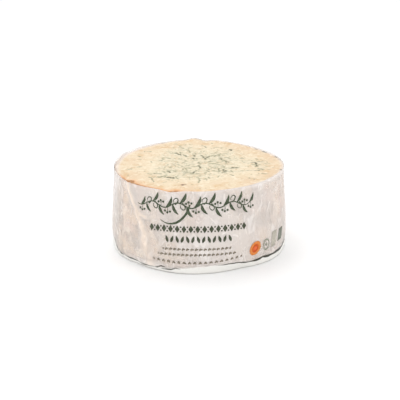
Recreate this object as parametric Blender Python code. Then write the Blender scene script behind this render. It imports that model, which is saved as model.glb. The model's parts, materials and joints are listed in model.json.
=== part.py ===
"""Half a truckle of blue-veined cheese, cut level across, on its rind end, in a clear film sleeve.

The film runs down the side from the cut rim, rolls in under the base edge and lies folded flat beneath it.
Metres, +Z up. The origin is on the table under the middle of the part, and the front faces -Y.
Azimuths are degrees round the part from the front: 90 is its right side, 180 its back and -90 its left.
"""

import math

import bpy
import numpy as np

# Sizes of the film sleeve, which is the outside of the part
HEIGHT = 0.1015
RIM_RADIUS = 0.104
WIDEST_RADIUS = 0.1086
WIDEST_HEIGHT = 0.020
ROLL_RADIUS = 0.1078
ROLL_HEIGHT = 0.0085
CONTACT_RADIUS = 0.1050
FOLD_INNER_RADIUS = 0.062
FILM_THICKNESS = 0.0005

# Clear space between the film's inner face and the rind
RIM_GAP = 0.0004
SIDE_GAP = 0.0011

# The rind end swells down through the opening in the folded film until it meets the table
CROWN_RADIUS = 0.054
CROWN_STEP = 0.004
FOLD_SPACE = 0.0022
UNDER_WAVE_SHARE = 0.25

# Fineness of the surfaces
DISC_RINGS = 18
AROUND = 6 * DISC_RINGS
WALL_ROWS = 9
ROLL_ROWS = 4
FOLD_ROWS = 3

# Waves round the slightly uneven side, as (how many round, height of the wave, azimuth of its crest)
OUTLINE_WAVES = ((2, 0.0006, 60.0), (3, 0.0005, -35.0), (5, 0.0003, 20.0))

# Where the base stands out or draws in, as (azimuth, half width, depth), and how high that reaches
BASE_BULGES = ((-8.0, 14.0, 0.0026), (62.0, 20.0, 0.0026), (28.0, 11.0, -0.0030), (-43.0, 9.0, -0.0012))
BULGE_HEIGHT = 0.014

# Fold in the film that comes down the left of the front, as heights with the azimuth it has reached
LONG_FOLD_HEIGHTS = (0.008, 0.034, 0.052, 0.066, 0.078, 0.097)
LONG_FOLD_AZIMUTHS = (-33.3, -37.0, -38.9, -43.6, -48.8, -53.5)
LONG_FOLD_WIDTH = 0.0055
LONG_FOLD_DEPTH = 0.0012

# The crease where the film starts to roll under, which is higher on the right of the front than on its left
CREASE_HEIGHT = 0.0075
CREASE_RISE = 0.0018
CREASE_WIDTH = 0.0022
CREASE_DEPTH = 0.0005
CREASE_FADE_START = 40.0
CREASE_FADE_END = 100.0

# Puckers in the roll, as (azimuth, half width, swell), and how high above the table they are fullest
PUCKERS = (
    (-62.0, 7.0, 0.0008),
    (-31.0, 6.0, 0.0010),
    (-17.0, 8.0, 0.0012),
    (48.0, 9.0, 0.0007),
    (140.0, 8.0, 0.0010),
)
PUCKER_FLOOR = 0.0035

# Gathers in the flat fold under the base
GATHERS = 27
GATHER_HEIGHT = 0.0007

# Worn shoulders of the rind that the film stands off, as (azimuth, half width, inset), and where they start
SHOULDERS = ((-113.0, 36.0, 0.0044), (126.0, 14.0, 0.0020))
SHOULDER_START = 0.095

# The cut edge as (azimuth, half width, drop): a crumbled front, a raised back, a torn lip and a notch
RIM_DROPS = (
    (-42.0, 26.0, 0.0024),
    (-56.0, 9.0, 0.0008),
    (-18.0, 6.5, 0.0027),
    (1.0, 13.0, 0.0014),
    (179.0, 30.0, -0.0016),
    (-176.6, 4.5, -0.0020),
    (174.5, 3.2, 0.0014),
)
RIM_REACH = 0.009
CRUMBLED_REACH = 0.018

# The film stands up above the cut at the right front
FILM_RISE_AZIMUTH = 66.0
FILM_RISE_SPREAD = 20.0
FILM_RISE = 0.0022

# The cut face's shallow uneven surface
FACE_DROP = 0.0006
FACE_WAVES = 14
FACE_WAVE_HEIGHT = 0.00014
FACE_WAVE_LENGTHS = (0.016, 0.060)
EDGE_ROUNDING = 0.0009
SEED = 27

# Colours and roughness, and the angle above which an edge stays sharp
FILM_COLOUR = (0.83, 0.80, 0.76)
FILM_ROUGHNESS = 0.28
CHEESE_COLOUR = (0.94, 0.85, 0.62)
CHEESE_ROUGHNESS = 0.55
SHARP_ANGLE = 40.0


def bump(value, centre, spread):
    """A smooth hill of height 1 at the centre, about spread wide to each side."""
    return np.exp(-(((value - centre) / spread) ** 2))


def plateau(value, centre, spread):
    """A hill with a broad level top of height 1."""
    return np.exp(-(((value - centre) / spread) ** 4))


def turned(azimuth, centre):
    """Azimuth measured from a centre, kept between -180 and 180."""
    return (azimuth - centre + 180.0) % 360.0 - 180.0


def ease(value):
    """A rise from 0 to 1 that starts and ends level."""
    value = np.clip(value, 0.0, 1.0)
    return value * value * (3.0 - 2.0 * value)


def outline_wave(azimuth):
    """How far the truckle's side swells at an azimuth."""
    swell = np.zeros_like(azimuth)
    for count, height, crest in OUTLINE_WAVES:
        swell += height * np.cos(np.radians(count * (azimuth - crest)))
    return swell


def base_bulge(azimuth):
    """How far the base stands out at the table, by azimuth."""
    bulge = np.zeros_like(azimuth)
    for centre, spread, depth in BASE_BULGES:
        bulge += depth * bump(turned(azimuth, centre), 0.0, spread)
    return bulge


def base_spread(azimuth, height):
    """How far the base stands out at a height: in full at the table and not at all above the roll."""
    return base_bulge(azimuth) * (1.0 - ease(height / BULGE_HEIGHT))


def near_rim(height):
    """1 at the cut rim and 0 from a little below it."""
    return ease((height - (HEIGHT - RIM_REACH)) / RIM_REACH)


def wall_radius(height):
    """Radius of the film's outside, from the rim out to the sagged part and in towards the roll."""
    climb = (height - WIDEST_HEIGHT) / (HEIGHT - WIDEST_HEIGHT)
    above = WIDEST_RADIUS + (RIM_RADIUS - WIDEST_RADIUS) * ease(climb)
    sink = (WIDEST_HEIGHT - height) / (WIDEST_HEIGHT - ROLL_HEIGHT)
    below = WIDEST_RADIUS + (ROLL_RADIUS - WIDEST_RADIUS) * ease(sink)
    return np.where(height > WIDEST_HEIGHT, above, below)


def side_profile():
    """Radius and height of the film's outside from the cut rim to its inner edge below, and outward normals.

    The wall swells from the rim to its widest, a quarter ellipse rolls under, and a flat ring runs inwards.
    """
    upper = np.linspace(HEIGHT, WIDEST_HEIGHT, WALL_ROWS)
    wall = np.concatenate([upper, [(WIDEST_HEIGHT + ROLL_HEIGHT) / 2]])
    turn = np.linspace(0.0, math.pi / 2, ROLL_ROWS)
    roll_height = ROLL_HEIGHT * (1.0 - np.sin(turn))
    roll_radius = ROLL_RADIUS - (ROLL_RADIUS - CONTACT_RADIUS) * (1.0 - np.cos(turn))
    inward = np.linspace(0.0, 1.0, FOLD_ROWS + 1)[1:]
    fold_radius = CONTACT_RADIUS + (FOLD_INNER_RADIUS - CONTACT_RADIUS) * inward
    radius = np.concatenate([wall_radius(wall), roll_radius, fold_radius])
    height = np.concatenate([wall, roll_height, np.zeros(FOLD_ROWS)])
    along_radius = np.gradient(radius)
    along_height = np.gradient(height)
    length = np.hypot(along_radius, along_height)
    return radius, height, -along_height / length, along_radius / length


def rim_drop(azimuth):
    """How far the cut edge lies below its level at an azimuth."""
    drop = np.zeros_like(azimuth)
    for centre, spread, depth in RIM_DROPS:
        drop += depth * bump(turned(azimuth, centre), 0.0, spread)
    return drop


def film_drop(azimuth):
    """How far the film's edge lies below the rim's level, less where it stands up above the cut."""
    rise = FILM_RISE * bump(turned(azimuth, FILM_RISE_AZIMUTH), 0.0, FILM_RISE_SPREAD)
    return rim_drop(azimuth) - rise


def crease_height(azimuth):
    """Height of the crease above the roll, which is lower on the left of the front than on its right."""
    fade = ease((CREASE_FADE_END - np.abs(azimuth)) / (CREASE_FADE_END - CREASE_FADE_START))
    return CREASE_HEIGHT + CREASE_RISE * np.sin(np.radians(azimuth)) * fade


def film_relief(azimuth, radius, height):
    """How far folds, the crease and puckers lift the film's side off its plain profile."""
    fold_azimuth = np.interp(height, LONG_FOLD_HEIGHTS, LONG_FOLD_AZIMUTHS)
    fold_distance = np.radians(turned(azimuth, fold_azimuth)) * radius
    relief = LONG_FOLD_DEPTH * bump(fold_distance, 0.0, LONG_FOLD_WIDTH) * ease(height / ROLL_HEIGHT)
    relief -= CREASE_DEPTH * bump(height, crease_height(azimuth), CREASE_WIDTH)
    for centre, spread, swell in PUCKERS:
        low = bump(height, PUCKER_FLOOR, PUCKER_FLOOR)
        relief += swell * bump(turned(azimuth, centre), 0.0, spread) * low
    return relief


def turned_points(azimuth, radius, height):
    """Points at azimuth, radius and height, as rows of x, y and z."""
    angle = np.radians(azimuth)
    return np.stack([radius * np.sin(angle), -radius * np.cos(angle), height], axis=-1).reshape(-1, 3)


def ring_azimuths():
    """Azimuths of the points round the part."""
    return np.arange(AROUND) * 360.0 / AROUND


def ring_faces(rows, first=0):
    """Quads between rows of points that each go round the part, from the top row down, facing out."""
    row, column = np.meshgrid(np.arange(rows - 1), np.arange(AROUND), indexing="ij")
    here = first + row * AROUND + column
    beside = first + row * AROUND + (column + 1) % AROUND
    return np.stack([here, here + AROUND, beside + AROUND, beside], axis=-1).reshape(-1, 4).tolist()


def disc_grid(rings):
    """A disc of near-equal triangles, ring k with 6 k points: ring numbers, turns and triangles."""
    ring_of = [0]
    turn_of = [0.0]
    start = [0]
    for ring in range(1, rings + 1):
        start.append(len(ring_of))
        ring_of += [ring] * (6 * ring)
        turn_of += [step / (6 * ring) for step in range(6 * ring)]
    triangles = []
    for ring in range(rings):
        inner = max(6 * ring, 1)
        outer = 6 * (ring + 1)
        for sixth in range(6):
            for step in range(ring + 1):
                near = start[ring] + (sixth * ring + step) % inner
                far = start[ring + 1] + sixth * (ring + 1) + step
                next_far = start[ring + 1] + (sixth * (ring + 1) + step + 1) % outer
                triangles.append((near, far, next_far))
                if step < ring:
                    next_near = start[ring] + (sixth * ring + step + 1) % inner
                    triangles.append((near, next_far, next_near))
    return np.array(ring_of), np.array(turn_of), triangles


def new_object(name, points, faces, colour, roughness):
    """A smooth-shaded mesh object with its own Principled material."""
    mesh = bpy.data.meshes.new(name)
    mesh.from_pydata(points.tolist(), [], faces)
    mesh.shade_smooth()
    mesh.set_sharp_from_angle(angle=math.radians(SHARP_ANGLE))
    material = bpy.data.materials.new(name)
    material.use_nodes = True
    shader = material.node_tree.nodes["Principled BSDF"]
    shader.inputs["Base Color"].default_value = (*colour, 1.0)
    shader.inputs["Roughness"].default_value = roughness
    shader.inputs["Metallic"].default_value = 0.0
    mesh.materials.append(material)
    obj = bpy.data.objects.new(name, mesh)
    bpy.context.scene.collection.objects.link(obj)
    return obj


def film_points():
    """The film's outer face as rows round the part, from the cut rim to the inner edge of the fold."""
    radius, height, out, up = side_profile()
    rows = len(radius)
    last_wall = rows - 1 - FOLD_ROWS
    azimuth = np.broadcast_to(ring_azimuths(), (rows, AROUND))
    around = turned(azimuth, 0.0)
    radius = np.broadcast_to(radius[:, None], azimuth.shape)
    height = np.broadcast_to(height[:, None], azimuth.shape)
    inward = np.maximum(np.arange(rows)[:, None] - last_wall, 0) / FOLD_ROWS
    lift = np.where(height > 0.0, film_relief(around, radius, height), 0.0)
    side = ease(height / ROLL_HEIGHT)
    wave = outline_wave(around) * np.clip(side, UNDER_WAVE_SHARE, 1.0)
    radius = radius + out[:, None] * lift + wave + base_spread(around, height) * (1.0 - inward)
    height = height + up[:, None] * np.maximum(lift, 0.0) * side - film_drop(around) * near_rim(height)
    gather = 0.5 + 0.5 * np.cos(np.radians(GATHERS * azimuth))
    height = np.where(inward > 0.0, GATHER_HEIGHT * gather * inward, height)
    return turned_points(azimuth, radius, height), rows


def make_film(shift):
    """The film sleeve: its outer face as a sheet, given its thickness inwards."""
    points, rows = film_points()
    film = new_object("wrap", points + shift, ring_faces(rows), FILM_COLOUR, FILM_ROUGHNESS)
    wall = film.modifiers.new("thickness", "SOLIDIFY")
    wall.thickness = FILM_THICKNESS
    wall.offset = -1.0
    wall.use_rim = True
    return film


def rind_profile():
    """The rind's side: the film's profile moved inwards by the film and its gap.

    Returns each row's radius and height, and the height of the film's row that it came from.
    """
    radius, height, out, up = side_profile()
    rows = len(radius) - FOLD_ROWS
    radius, film_height, out, up = radius[:rows], height[:rows], out[:rows], up[:rows]
    gap = SIDE_GAP + (RIM_GAP - SIDE_GAP) * near_rim(film_height)
    inset = FILM_THICKNESS + gap
    radius = radius - inset * out
    height = film_height - inset * up
    radius[0] = RIM_RADIUS - FILM_THICKNESS - RIM_GAP - EDGE_ROUNDING
    height[0] = HEIGHT - FACE_DROP
    height[-1] = FOLD_SPACE
    return radius, height, film_height


def shoulder_inset(azimuth, height):
    """How far the rind's worn shoulders draw in behind the film."""
    inset = np.zeros_like(azimuth)
    for centre, spread, depth in SHOULDERS:
        inset += depth * plateau(turned(azimuth, centre), 0.0, spread)
    return inset * ease((height - SHOULDER_START) / (HEIGHT - SHOULDER_START))


def face_relief(x, y):
    """The cut face's shallow unevenness, as a sum of seeded waves in all directions."""
    random = np.random.default_rng(SEED)
    heading = random.uniform(0.0, 2 * math.pi, FACE_WAVES)
    length = random.uniform(*FACE_WAVE_LENGTHS, FACE_WAVES)
    phase = random.uniform(0.0, 2 * math.pi, FACE_WAVES)
    across = x[:, None] * np.cos(heading) + y[:, None] * np.sin(heading)
    return FACE_WAVE_HEIGHT * np.sin(2 * math.pi * across / length + phase).sum(axis=1)


def face_height(azimuth, fraction, x, y):
    """Height of the cut face: level and uneven, and crumbled or torn near the rim."""
    reach = 1.0 - CRUMBLED_REACH / RIM_RADIUS
    edge = ease((fraction - reach) / (1.0 - reach))
    return HEIGHT - FACE_DROP + face_relief(x, y) * (1.0 - edge) - rim_drop(azimuth) * edge


def make_cheese(shift):
    """The cheese in one piece: cut face, rind side and rind end, closed all round."""
    ring, turn, triangles = disc_grid(DISC_RINGS)
    azimuth = turned(turn * 360.0, 0.0)
    fraction = ring / DISC_RINGS
    side_radius, side_height, film_height = rind_profile()
    rows = len(side_radius)

    edge = side_radius[0] + outline_wave(azimuth) - shoulder_inset(azimuth, HEIGHT)
    top = turned_points(azimuth, edge * fraction, np.zeros_like(azimuth))
    top[:, 2] = face_height(azimuth, fraction, top[:, 0], top[:, 1])

    around = turned(np.broadcast_to(ring_azimuths(), (rows - 2, AROUND)), 0.0)
    rind_radius = np.broadcast_to(side_radius[1:-1, None], around.shape)
    rind_height = np.broadcast_to(side_height[1:-1, None], around.shape)
    rind_radius = rind_radius + outline_wave(around) - shoulder_inset(around, rind_height)
    rind_radius = rind_radius + base_spread(around, film_height[1:-1, None])
    rind_height = rind_height - rim_drop(around) * near_rim(rind_height)
    wall = turned_points(around, rind_radius, rind_height)

    crown_ring = DISC_RINGS // 2
    stops = (0, crown_ring, crown_ring + 1, DISC_RINGS)
    under_radius = np.interp(ring, stops, (0.0, CROWN_RADIUS, CROWN_RADIUS + CROWN_STEP, side_radius[-1]))
    under_height = np.where(ring > crown_ring, FOLD_SPACE, 0.0)
    beyond_crown = np.maximum(ring - crown_ring, 0) / (DISC_RINGS - crown_ring)
    under_wave = UNDER_WAVE_SHARE * outline_wave(azimuth) * fraction + base_bulge(azimuth) * beyond_crown
    under = turned_points(azimuth, under_radius + under_wave, under_height)

    disc_points = len(top)
    rim_start = disc_points - AROUND
    wall_start = disc_points
    under_start = disc_points + len(wall)
    under_rim = under_start + rim_start
    faces = list(triangles)
    faces += ring_faces(rows - 2, wall_start)
    last_row = wall_start + (rows - 3) * AROUND
    for step in range(AROUND):
        after = (step + 1) % AROUND
        faces.append((rim_start + step, wall_start + step, wall_start + after, rim_start + after))
        faces.append((last_row + step, under_rim + step, under_rim + after, last_row + after))
    faces += [tuple(under_start + corner for corner in reversed(triangle)) for triangle in triangles]
    points = np.concatenate([top, wall, under])
    return new_object("cheese", points + shift, faces, CHEESE_COLOUR, CHEESE_ROUGHNESS)


def main():
    """Builds the cheese and its film, centred over the origin."""
    for old in list(bpy.data.objects):
        bpy.data.objects.remove(old, do_unlink=True)
    outside, _ = film_points()
    middle = 0.5 * (outside.min(axis=0) + outside.max(axis=0))
    shift = np.array([-middle[0], -middle[1], 0.0])
    make_cheese(shift)
    make_film(shift)


main()
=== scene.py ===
"""Looks of half a truckle of blue-veined cheese, cut level across and wrapped in a clear printed film sleeve.

Azimuths are degrees round the part from its front, which faces -Y: 90 is its right side, 180 its back and
-90 its left. Every surface is worked out with numpy as a function of two parameters, in metres and in the
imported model's frame.
"""

import json
import logging
import math
from dataclasses import dataclass, field
from enum import Enum

import bpy
import numpy as np
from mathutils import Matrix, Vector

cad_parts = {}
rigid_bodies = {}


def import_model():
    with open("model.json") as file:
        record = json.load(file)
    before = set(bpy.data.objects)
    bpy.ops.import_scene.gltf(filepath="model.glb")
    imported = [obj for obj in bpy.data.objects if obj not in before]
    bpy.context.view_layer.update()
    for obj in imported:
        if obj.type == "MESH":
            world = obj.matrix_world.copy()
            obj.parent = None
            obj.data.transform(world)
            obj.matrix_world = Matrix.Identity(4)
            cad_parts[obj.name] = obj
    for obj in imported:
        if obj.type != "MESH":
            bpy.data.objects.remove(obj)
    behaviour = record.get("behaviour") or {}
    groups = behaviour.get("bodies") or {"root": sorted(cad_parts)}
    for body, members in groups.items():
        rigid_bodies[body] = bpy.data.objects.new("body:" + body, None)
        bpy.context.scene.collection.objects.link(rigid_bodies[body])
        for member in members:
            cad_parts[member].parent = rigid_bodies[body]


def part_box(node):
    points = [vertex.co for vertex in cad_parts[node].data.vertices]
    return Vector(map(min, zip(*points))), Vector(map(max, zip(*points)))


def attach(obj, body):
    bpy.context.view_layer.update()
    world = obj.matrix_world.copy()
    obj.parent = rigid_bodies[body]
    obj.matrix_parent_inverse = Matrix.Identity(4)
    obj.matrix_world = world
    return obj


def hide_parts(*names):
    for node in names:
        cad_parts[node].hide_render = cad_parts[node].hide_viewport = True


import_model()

BODY = "root"
MILLIMETRE = 0.001
LOG = logging.getLogger("truckle")

Array = np.ndarray
Colour = tuple[float, float, float]
Socket = bpy.types.NodeSocket
Tree = bpy.types.NodeTree
Material = bpy.types.Material
Object = bpy.types.Object


class Slot(Enum):
    """Material slots of the record."""

    CHEESE = "cheese"
    FILM = "film"


class Node(Enum):
    """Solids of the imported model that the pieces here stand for."""

    CHEESE = "cheese"
    WRAP = "wrap"


def ease(value: Array) -> Array:
    """A rise from 0 to 1 that starts and ends level: 3 t^2 - 2 t^3 with t kept between 0 and 1."""
    value = np.clip(value, 0.0, 1.0)
    return value * value * (3.0 - 2.0 * value)


def eased(value: Array, start: float, length: float) -> Array:
    """A rise from 0 at start to 1 a length further on; with a length below 0 it is a fall."""
    return ease((value - start) / length)


def bump(distance: Array, spread: float | Array) -> Array:
    """A smooth hill of height 1 where distance is 0: exp(-(distance / spread)^2)."""
    return np.exp(-((distance / spread) ** 2))


def plateau(distance: Array, spread: float | Array) -> Array:
    """A hill with a broad level top: exp(-(distance / spread)^4)."""
    return np.exp(-((distance / spread) ** 4))


def turned(azimuth: Array, centre: float | Array) -> Array:
    """Azimuth measured from a centre, kept between -180 and 180 degrees."""
    return (azimuth - centre + 180.0) % 360.0 - 180.0


def hills(azimuth: Array, table: tuple) -> Array:
    """A sum of smooth hills round the truckle, each given as its azimuth, its spread and its height."""
    return sum(height * bump(turned(azimuth, centre), spread) for centre, spread, height in table)


def round_table(azimuth: Array, stops: tuple, values: tuple) -> Array:
    """Values given at some azimuths, joined by straight lines all the way round.

    Args:
        azimuth: where to read, in degrees.
        stops: azimuths of the table, rising.
        values: the value at each of them.

    Returns:
        The value at each azimuth.
    """
    place = turned(azimuth, 0.0)
    wide_stops = np.concatenate([[stops[-1] - 360.0], stops, [stops[0] + 360.0]])
    return np.interp(place, wide_stops, np.concatenate([[values[-1]], values, [values[0]]]))


def linear(red: int, green: int, blue: int) -> Colour:
    """A colour given as it shows on a screen, from 0 to 255, as linear light.

    Args:
        red, green, blue: its parts as shown.

    Returns:
        Its parts as light, from 0 to 1.
    """
    shown = np.array([red, green, blue]) / 255.0
    light = np.where(shown <= 0.04045, shown / 12.92, ((shown + 0.055) / 1.055) ** 2.4)
    return tuple(float(part) for part in light)


def on_ring(azimuth: Array, radius: Array, height: Array) -> Array:
    """Points at azimuth, radius and height: x = r sin(a), y = -r cos(a), z = height.

    Args:
        azimuth: degrees from the front.
        radius: metres from the truckle's axis.
        height: metres above the table.

    Returns:
        Rows of x, y and z, in the order of the flattened inputs.
    """
    azimuth, radius, height = np.broadcast_arrays(azimuth, radius, height)
    angle = np.radians(azimuth)
    return np.stack([radius * np.sin(angle), -radius * np.cos(angle), height], axis=-1).reshape(-1, 3)


@dataclass(frozen=True)
class SpaceNoise:
    """Smooth seeded noise in space, between -1 and 1: random values on a lattice, eased between corners."""

    seed: int
    side: int = 61
    layer_shift: float = 0.37

    def at(self, points: Array, cell: float) -> Array:
        """The noise at some points.

        Args:
            points: rows of x, y and z in metres.
            cell: the lattice's spacing in metres.

        Returns:
            One value for each point.
        """
        table = np.random.default_rng(self.seed).uniform(-1.0, 1.0, (self.side,) * 3)
        place = points / cell
        corner = np.floor(place).astype(np.int64)
        share = ease(place - corner)
        total = np.zeros(len(points))
        for offset in np.ndindex(2, 2, 2):
            at = (corner + offset) % self.side
            weight = np.prod(np.where(np.array(offset) == 1, share, 1.0 - share), axis=1)
            total += weight * table[at[:, 0], at[:, 1], at[:, 2]]
        return total

    def layered(self, points: Array, cell: float, layers: int) -> Array:
        """Noise summed over layers, each of half the cell and half the strength of the one before.

        Args:
            points: rows of x, y and z in metres.
            cell: the first layer's spacing.
            layers: how many layers.

        Returns:
            One value for each point.
        """
        total = np.zeros(len(points))
        for layer in range(layers):
            total += self.at(points + self.layer_shift * layer, cell * 0.5**layer) * 0.5**layer
        return total

    def over(self, x: Array, y: Array, level: float, cell: float) -> Array:
        """The noise on a level plane, in the shape of x and y."""
        flat = np.stack([x, y, 0 * x + level], axis=-1).reshape(-1, 3)
        return self.at(flat, cell).reshape(x.shape)


def disc_grid(rings: int) -> tuple[Array, Array, Array]:
    """A disc of near-equal triangles in six sectors, where ring k has 6 k points round it.

    Args:
        rings: how many rings lie round the centre point.

    Returns:
        Each point's ring number, its turn round the disc from 0 to 1, and the triangles, facing up.
    """
    counts = np.maximum(6 * np.arange(rings + 1), 1)
    start = np.concatenate([[0], np.cumsum(counts)[:-1]])
    ring = np.repeat(np.arange(rings + 1), counts)
    step = np.arange(len(ring)) - start[ring]
    turn = step / counts[ring]
    far = np.flatnonzero(ring > 0)
    outer, far_step = ring[far], step[far]
    near = start[outer - 1] + (far_step // outer * (outer - 1) + far_step % outer) % counts[outer - 1]
    next_far = start[outer] + (far_step + 1) % counts[outer]
    outward = np.stack([near, far, next_far], axis=1)
    near = np.flatnonzero((ring > 0) & (ring < rings))
    inner, near_step = ring[near], step[near]
    between = start[inner + 1] + near_step // inner * (inner + 1) + near_step % inner + 1
    next_near = start[inner] + (near_step + 1) % counts[inner]
    inward = np.stack([near, between, next_near], axis=1)
    return ring, turn, np.concatenate([outward, inward])


def band_triangles(upper: Array, lower: Array) -> Array:
    """Triangles between two closed rings of points of equal count, the upper above the lower, facing out.

    Args:
        upper, lower: numbers of the points in each ring, in order.

    Returns:
        Rows of three point numbers.
    """
    after_upper, after_lower = np.roll(upper, -1), np.roll(lower, -1)
    first = np.stack([upper, lower, after_lower], axis=1)
    second = np.stack([upper, after_lower, after_upper], axis=1)
    return np.concatenate([first, second])


def halving_triangles(upper: Array, lower: Array) -> Array:
    """Triangles from a closed ring of points down to one with half as many, facing out.

    Args:
        upper, lower: numbers of the points in each ring, in order.

    Returns:
        Rows of three point numbers.
    """
    even, odd, after = upper[0::2], upper[1::2], np.roll(upper[0::2], -1)
    after_lower = np.roll(lower, -1)
    left = np.stack([even, lower, odd], axis=1)
    middle = np.stack([odd, lower, after_lower], axis=1)
    right = np.stack([odd, after_lower, after], axis=1)
    return np.concatenate([left, middle, right])


def grid_quads(rows: int, columns: int) -> Array:
    """Quads of a grid whose points are numbered row by row: along the row, on to the next row, and back.

    Args:
        rows, columns: how many points the grid has each way.

    Returns:
        Rows of four point numbers.
    """
    number = np.arange(rows * columns).reshape(rows, columns)
    corners = (number[:-1, :-1], number[:-1, 1:], number[1:, 1:], number[1:, :-1])
    return np.stack([corner.ravel() for corner in corners], axis=1)


def new_mesh(name: str, points: Array, faces: Array) -> Object:
    """A smooth-shaded mesh object at the origin, from whole arrays.

    Args:
        name: the piece's name.
        points: rows of x, y and z in metres.
        faces: rows of three or four point numbers each, facing out.

    Returns:
        The object, linked to the scene.
    """
    mesh = bpy.data.meshes.new(name)
    sides = faces.shape[1]
    mesh.vertices.add(len(points))
    mesh.vertices.foreach_set("co", points.astype(np.float32).ravel())
    mesh.loops.add(faces.size)
    mesh.loops.foreach_set("vertex_index", faces.astype(np.int32).ravel())
    mesh.polygons.add(len(faces))
    mesh.polygons.foreach_set("loop_start", np.arange(len(faces), dtype=np.int32) * sides)
    mesh.update(calc_edges=True)
    mesh.validate()
    mesh.shade_smooth()
    obj = bpy.data.objects.new(name, mesh)
    bpy.context.scene.collection.objects.link(obj)
    return obj


def set_values(obj: Object, **values: Array) -> None:
    """Stores one number for each point of a mesh under each name, for its material to read.

    Args:
        obj: the piece.
        values: a number from 0 to 1 for each point, by name.
    """
    for name, numbers in values.items():
        attribute = obj.data.attributes.new(name, "FLOAT", "POINT")
        attribute.data.foreach_set("value", np.clip(numbers, 0.0, 1.0).astype(np.float32))


def finish_piece(obj: Object, slot: Slot, material: Material, *stands_for: Node) -> None:
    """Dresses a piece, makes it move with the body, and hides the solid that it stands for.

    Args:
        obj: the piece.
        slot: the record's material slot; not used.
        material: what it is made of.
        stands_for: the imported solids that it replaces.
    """
    obj.data.materials.append(material)
    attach(obj, BODY)
    if stands_for:
        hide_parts(*(node.value for node in stands_for))
    corners = np.array(obj.bound_box)
    size = (corners.max(axis=0) - corners.min(axis=0)) * 1000.0
    LOG.info("%s: %d faces, %.1f x %.1f x %.1f mm", obj.name, len(obj.data.polygons), *size)


@dataclass(frozen=True)
class TruckleShape:
    """Outer form of the wrapped half truckle, which the cheese and the film both follow.

    A rim drop or a base bulge is a hill given as its azimuth, its spread in degrees and its size in metres.
    """

    height: float = 0.1015
    rim_radius: float = 0.104
    widest_radius: float = 0.108
    widest_height: float = 0.020
    roll_radius: float = 0.1072
    roll_height: float = 0.0085
    contact_radius: float = 0.1050
    fold_inner_radius: float = 0.062
    rim_reach: float = 0.009
    outline_waves: tuple = ((2, 0.0006, 60.0), (3, 0.0005, -35.0), (5, 0.0003, 20.0))
    rim_drops: tuple = (
        (-42.0, 26.0, 0.0024),
        (-56.0, 9.0, 0.0008),
        (-18.0, 6.5, 0.0027),
        (1.0, 13.0, 0.0014),
        (179.0, 30.0, -0.0016),
        (-176.6, 4.5, -0.0020),
        (174.5, 3.2, 0.0014),
    )
    film_rise: tuple = (66.0, 20.0, 0.0022)
    bulge_height: float = 0.014
    base_bulges: tuple = (
        (-8.0, 14.0, 0.0026),
        (62.0, 20.0, 0.0026),
        (28.0, 11.0, -0.0030),
        (-43.0, 9.0, -0.0012),
    )

    def outline_wave(self, azimuth: Array) -> Array:
        """How far the side swells at an azimuth: a sum of slow waves, each a count, a height and a crest."""
        waves = self.outline_waves
        return sum(height * np.cos(np.radians(count * (azimuth - crest))) for count, height, crest in waves)

    def base_bulge(self, azimuth: Array) -> Array:
        """How far the bunched film stands out at the table."""
        return hills(azimuth, self.base_bulges)

    def base_spread(self, azimuth: Array, height: Array) -> Array:
        """How far the base stands out at a height: in full at the table, none above the roll."""
        return self.base_bulge(azimuth) * (1.0 - ease(height / self.bulge_height))

    def rim_drop(self, azimuth: Array) -> Array:
        """How far the cut edge lies below its level: a crumbled front, a raised back, a lip and a notch."""
        return hills(azimuth, self.rim_drops)

    def film_drop(self, azimuth: Array) -> Array:
        """How far the film's edge lies below the rim's level: as the cheese's, but raised at the right."""
        return self.rim_drop(azimuth) - hills(azimuth, (self.film_rise,))

    def near_rim(self, height: Array) -> Array:
        """1 at the cut rim and 0 from a little below it."""
        return ease((height - (self.height - self.rim_reach)) / self.rim_reach)

    def wall_radius(self, height: Array) -> Array:
        """Radius of the film's outside: eased from the rim out to the sagged part, then in to the roll.

        Args:
            height: metres above the table.

        Returns:
            The radius in metres.
        """
        climb = (height - self.widest_height) / (self.height - self.widest_height)
        above = self.widest_radius + (self.rim_radius - self.widest_radius) * ease(climb)
        sink = (self.widest_height - height) / (self.widest_height - self.roll_height)
        below = self.widest_radius + (self.roll_radius - self.widest_radius) * ease(sink)
        return np.where(height > self.widest_height, above, below)

    def profile(self, wall: Array, turn: Array, inward: Array) -> tuple[Array, Array]:
        """Radius and height along the outside, from the cut rim down, round the base edge and in beneath.

        Args:
            wall: heights of the rows on the wall, from the rim down to the roll.
            turn: turns of the rows on the roll in radians, from 0, level with it, to half of pi, underneath.
            inward: places of the rows on the flat fold, from 0 at the roll to 1 at its inner edge.

        Returns:
            Radius and height of every row: the wall, a quarter of an ellipse, then a flat ring.
        """
        depth = self.roll_radius - self.contact_radius
        roll_radius = self.roll_radius - depth * (1.0 - np.cos(turn))
        roll_height = self.roll_height * (1.0 - np.sin(turn))
        fold_radius = self.contact_radius + (self.fold_inner_radius - self.contact_radius) * inward
        radius = np.concatenate([self.wall_radius(wall), roll_radius, fold_radius])
        height = np.concatenate([wall, roll_height, np.zeros_like(inward)])
        return radius, height


def profile_normals(radius: Array, height: Array) -> tuple[Array, Array]:
    """Outward normal of a profile that runs down and inwards: its tangent turned by a quarter turn.

    Args:
        radius, height: the profile's points in order.

    Returns:
        The normal's parts outwards and upwards.
    """
    along_radius, along_height = np.gradient(radius), np.gradient(height)
    length = np.hypot(along_radius, along_height)
    return -along_height / length, along_radius / length


@dataclass(frozen=True)
class Patch:
    """A round area of the cut face, with how strong something is there."""

    x: float
    y: float
    radius: float
    strength: float

    def cover(self, x: Array, y: Array) -> Array:
        """The patch's strength at places on the cut face."""
        return self.strength * bump(np.hypot(x - self.x, y - self.y), self.radius)


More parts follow.
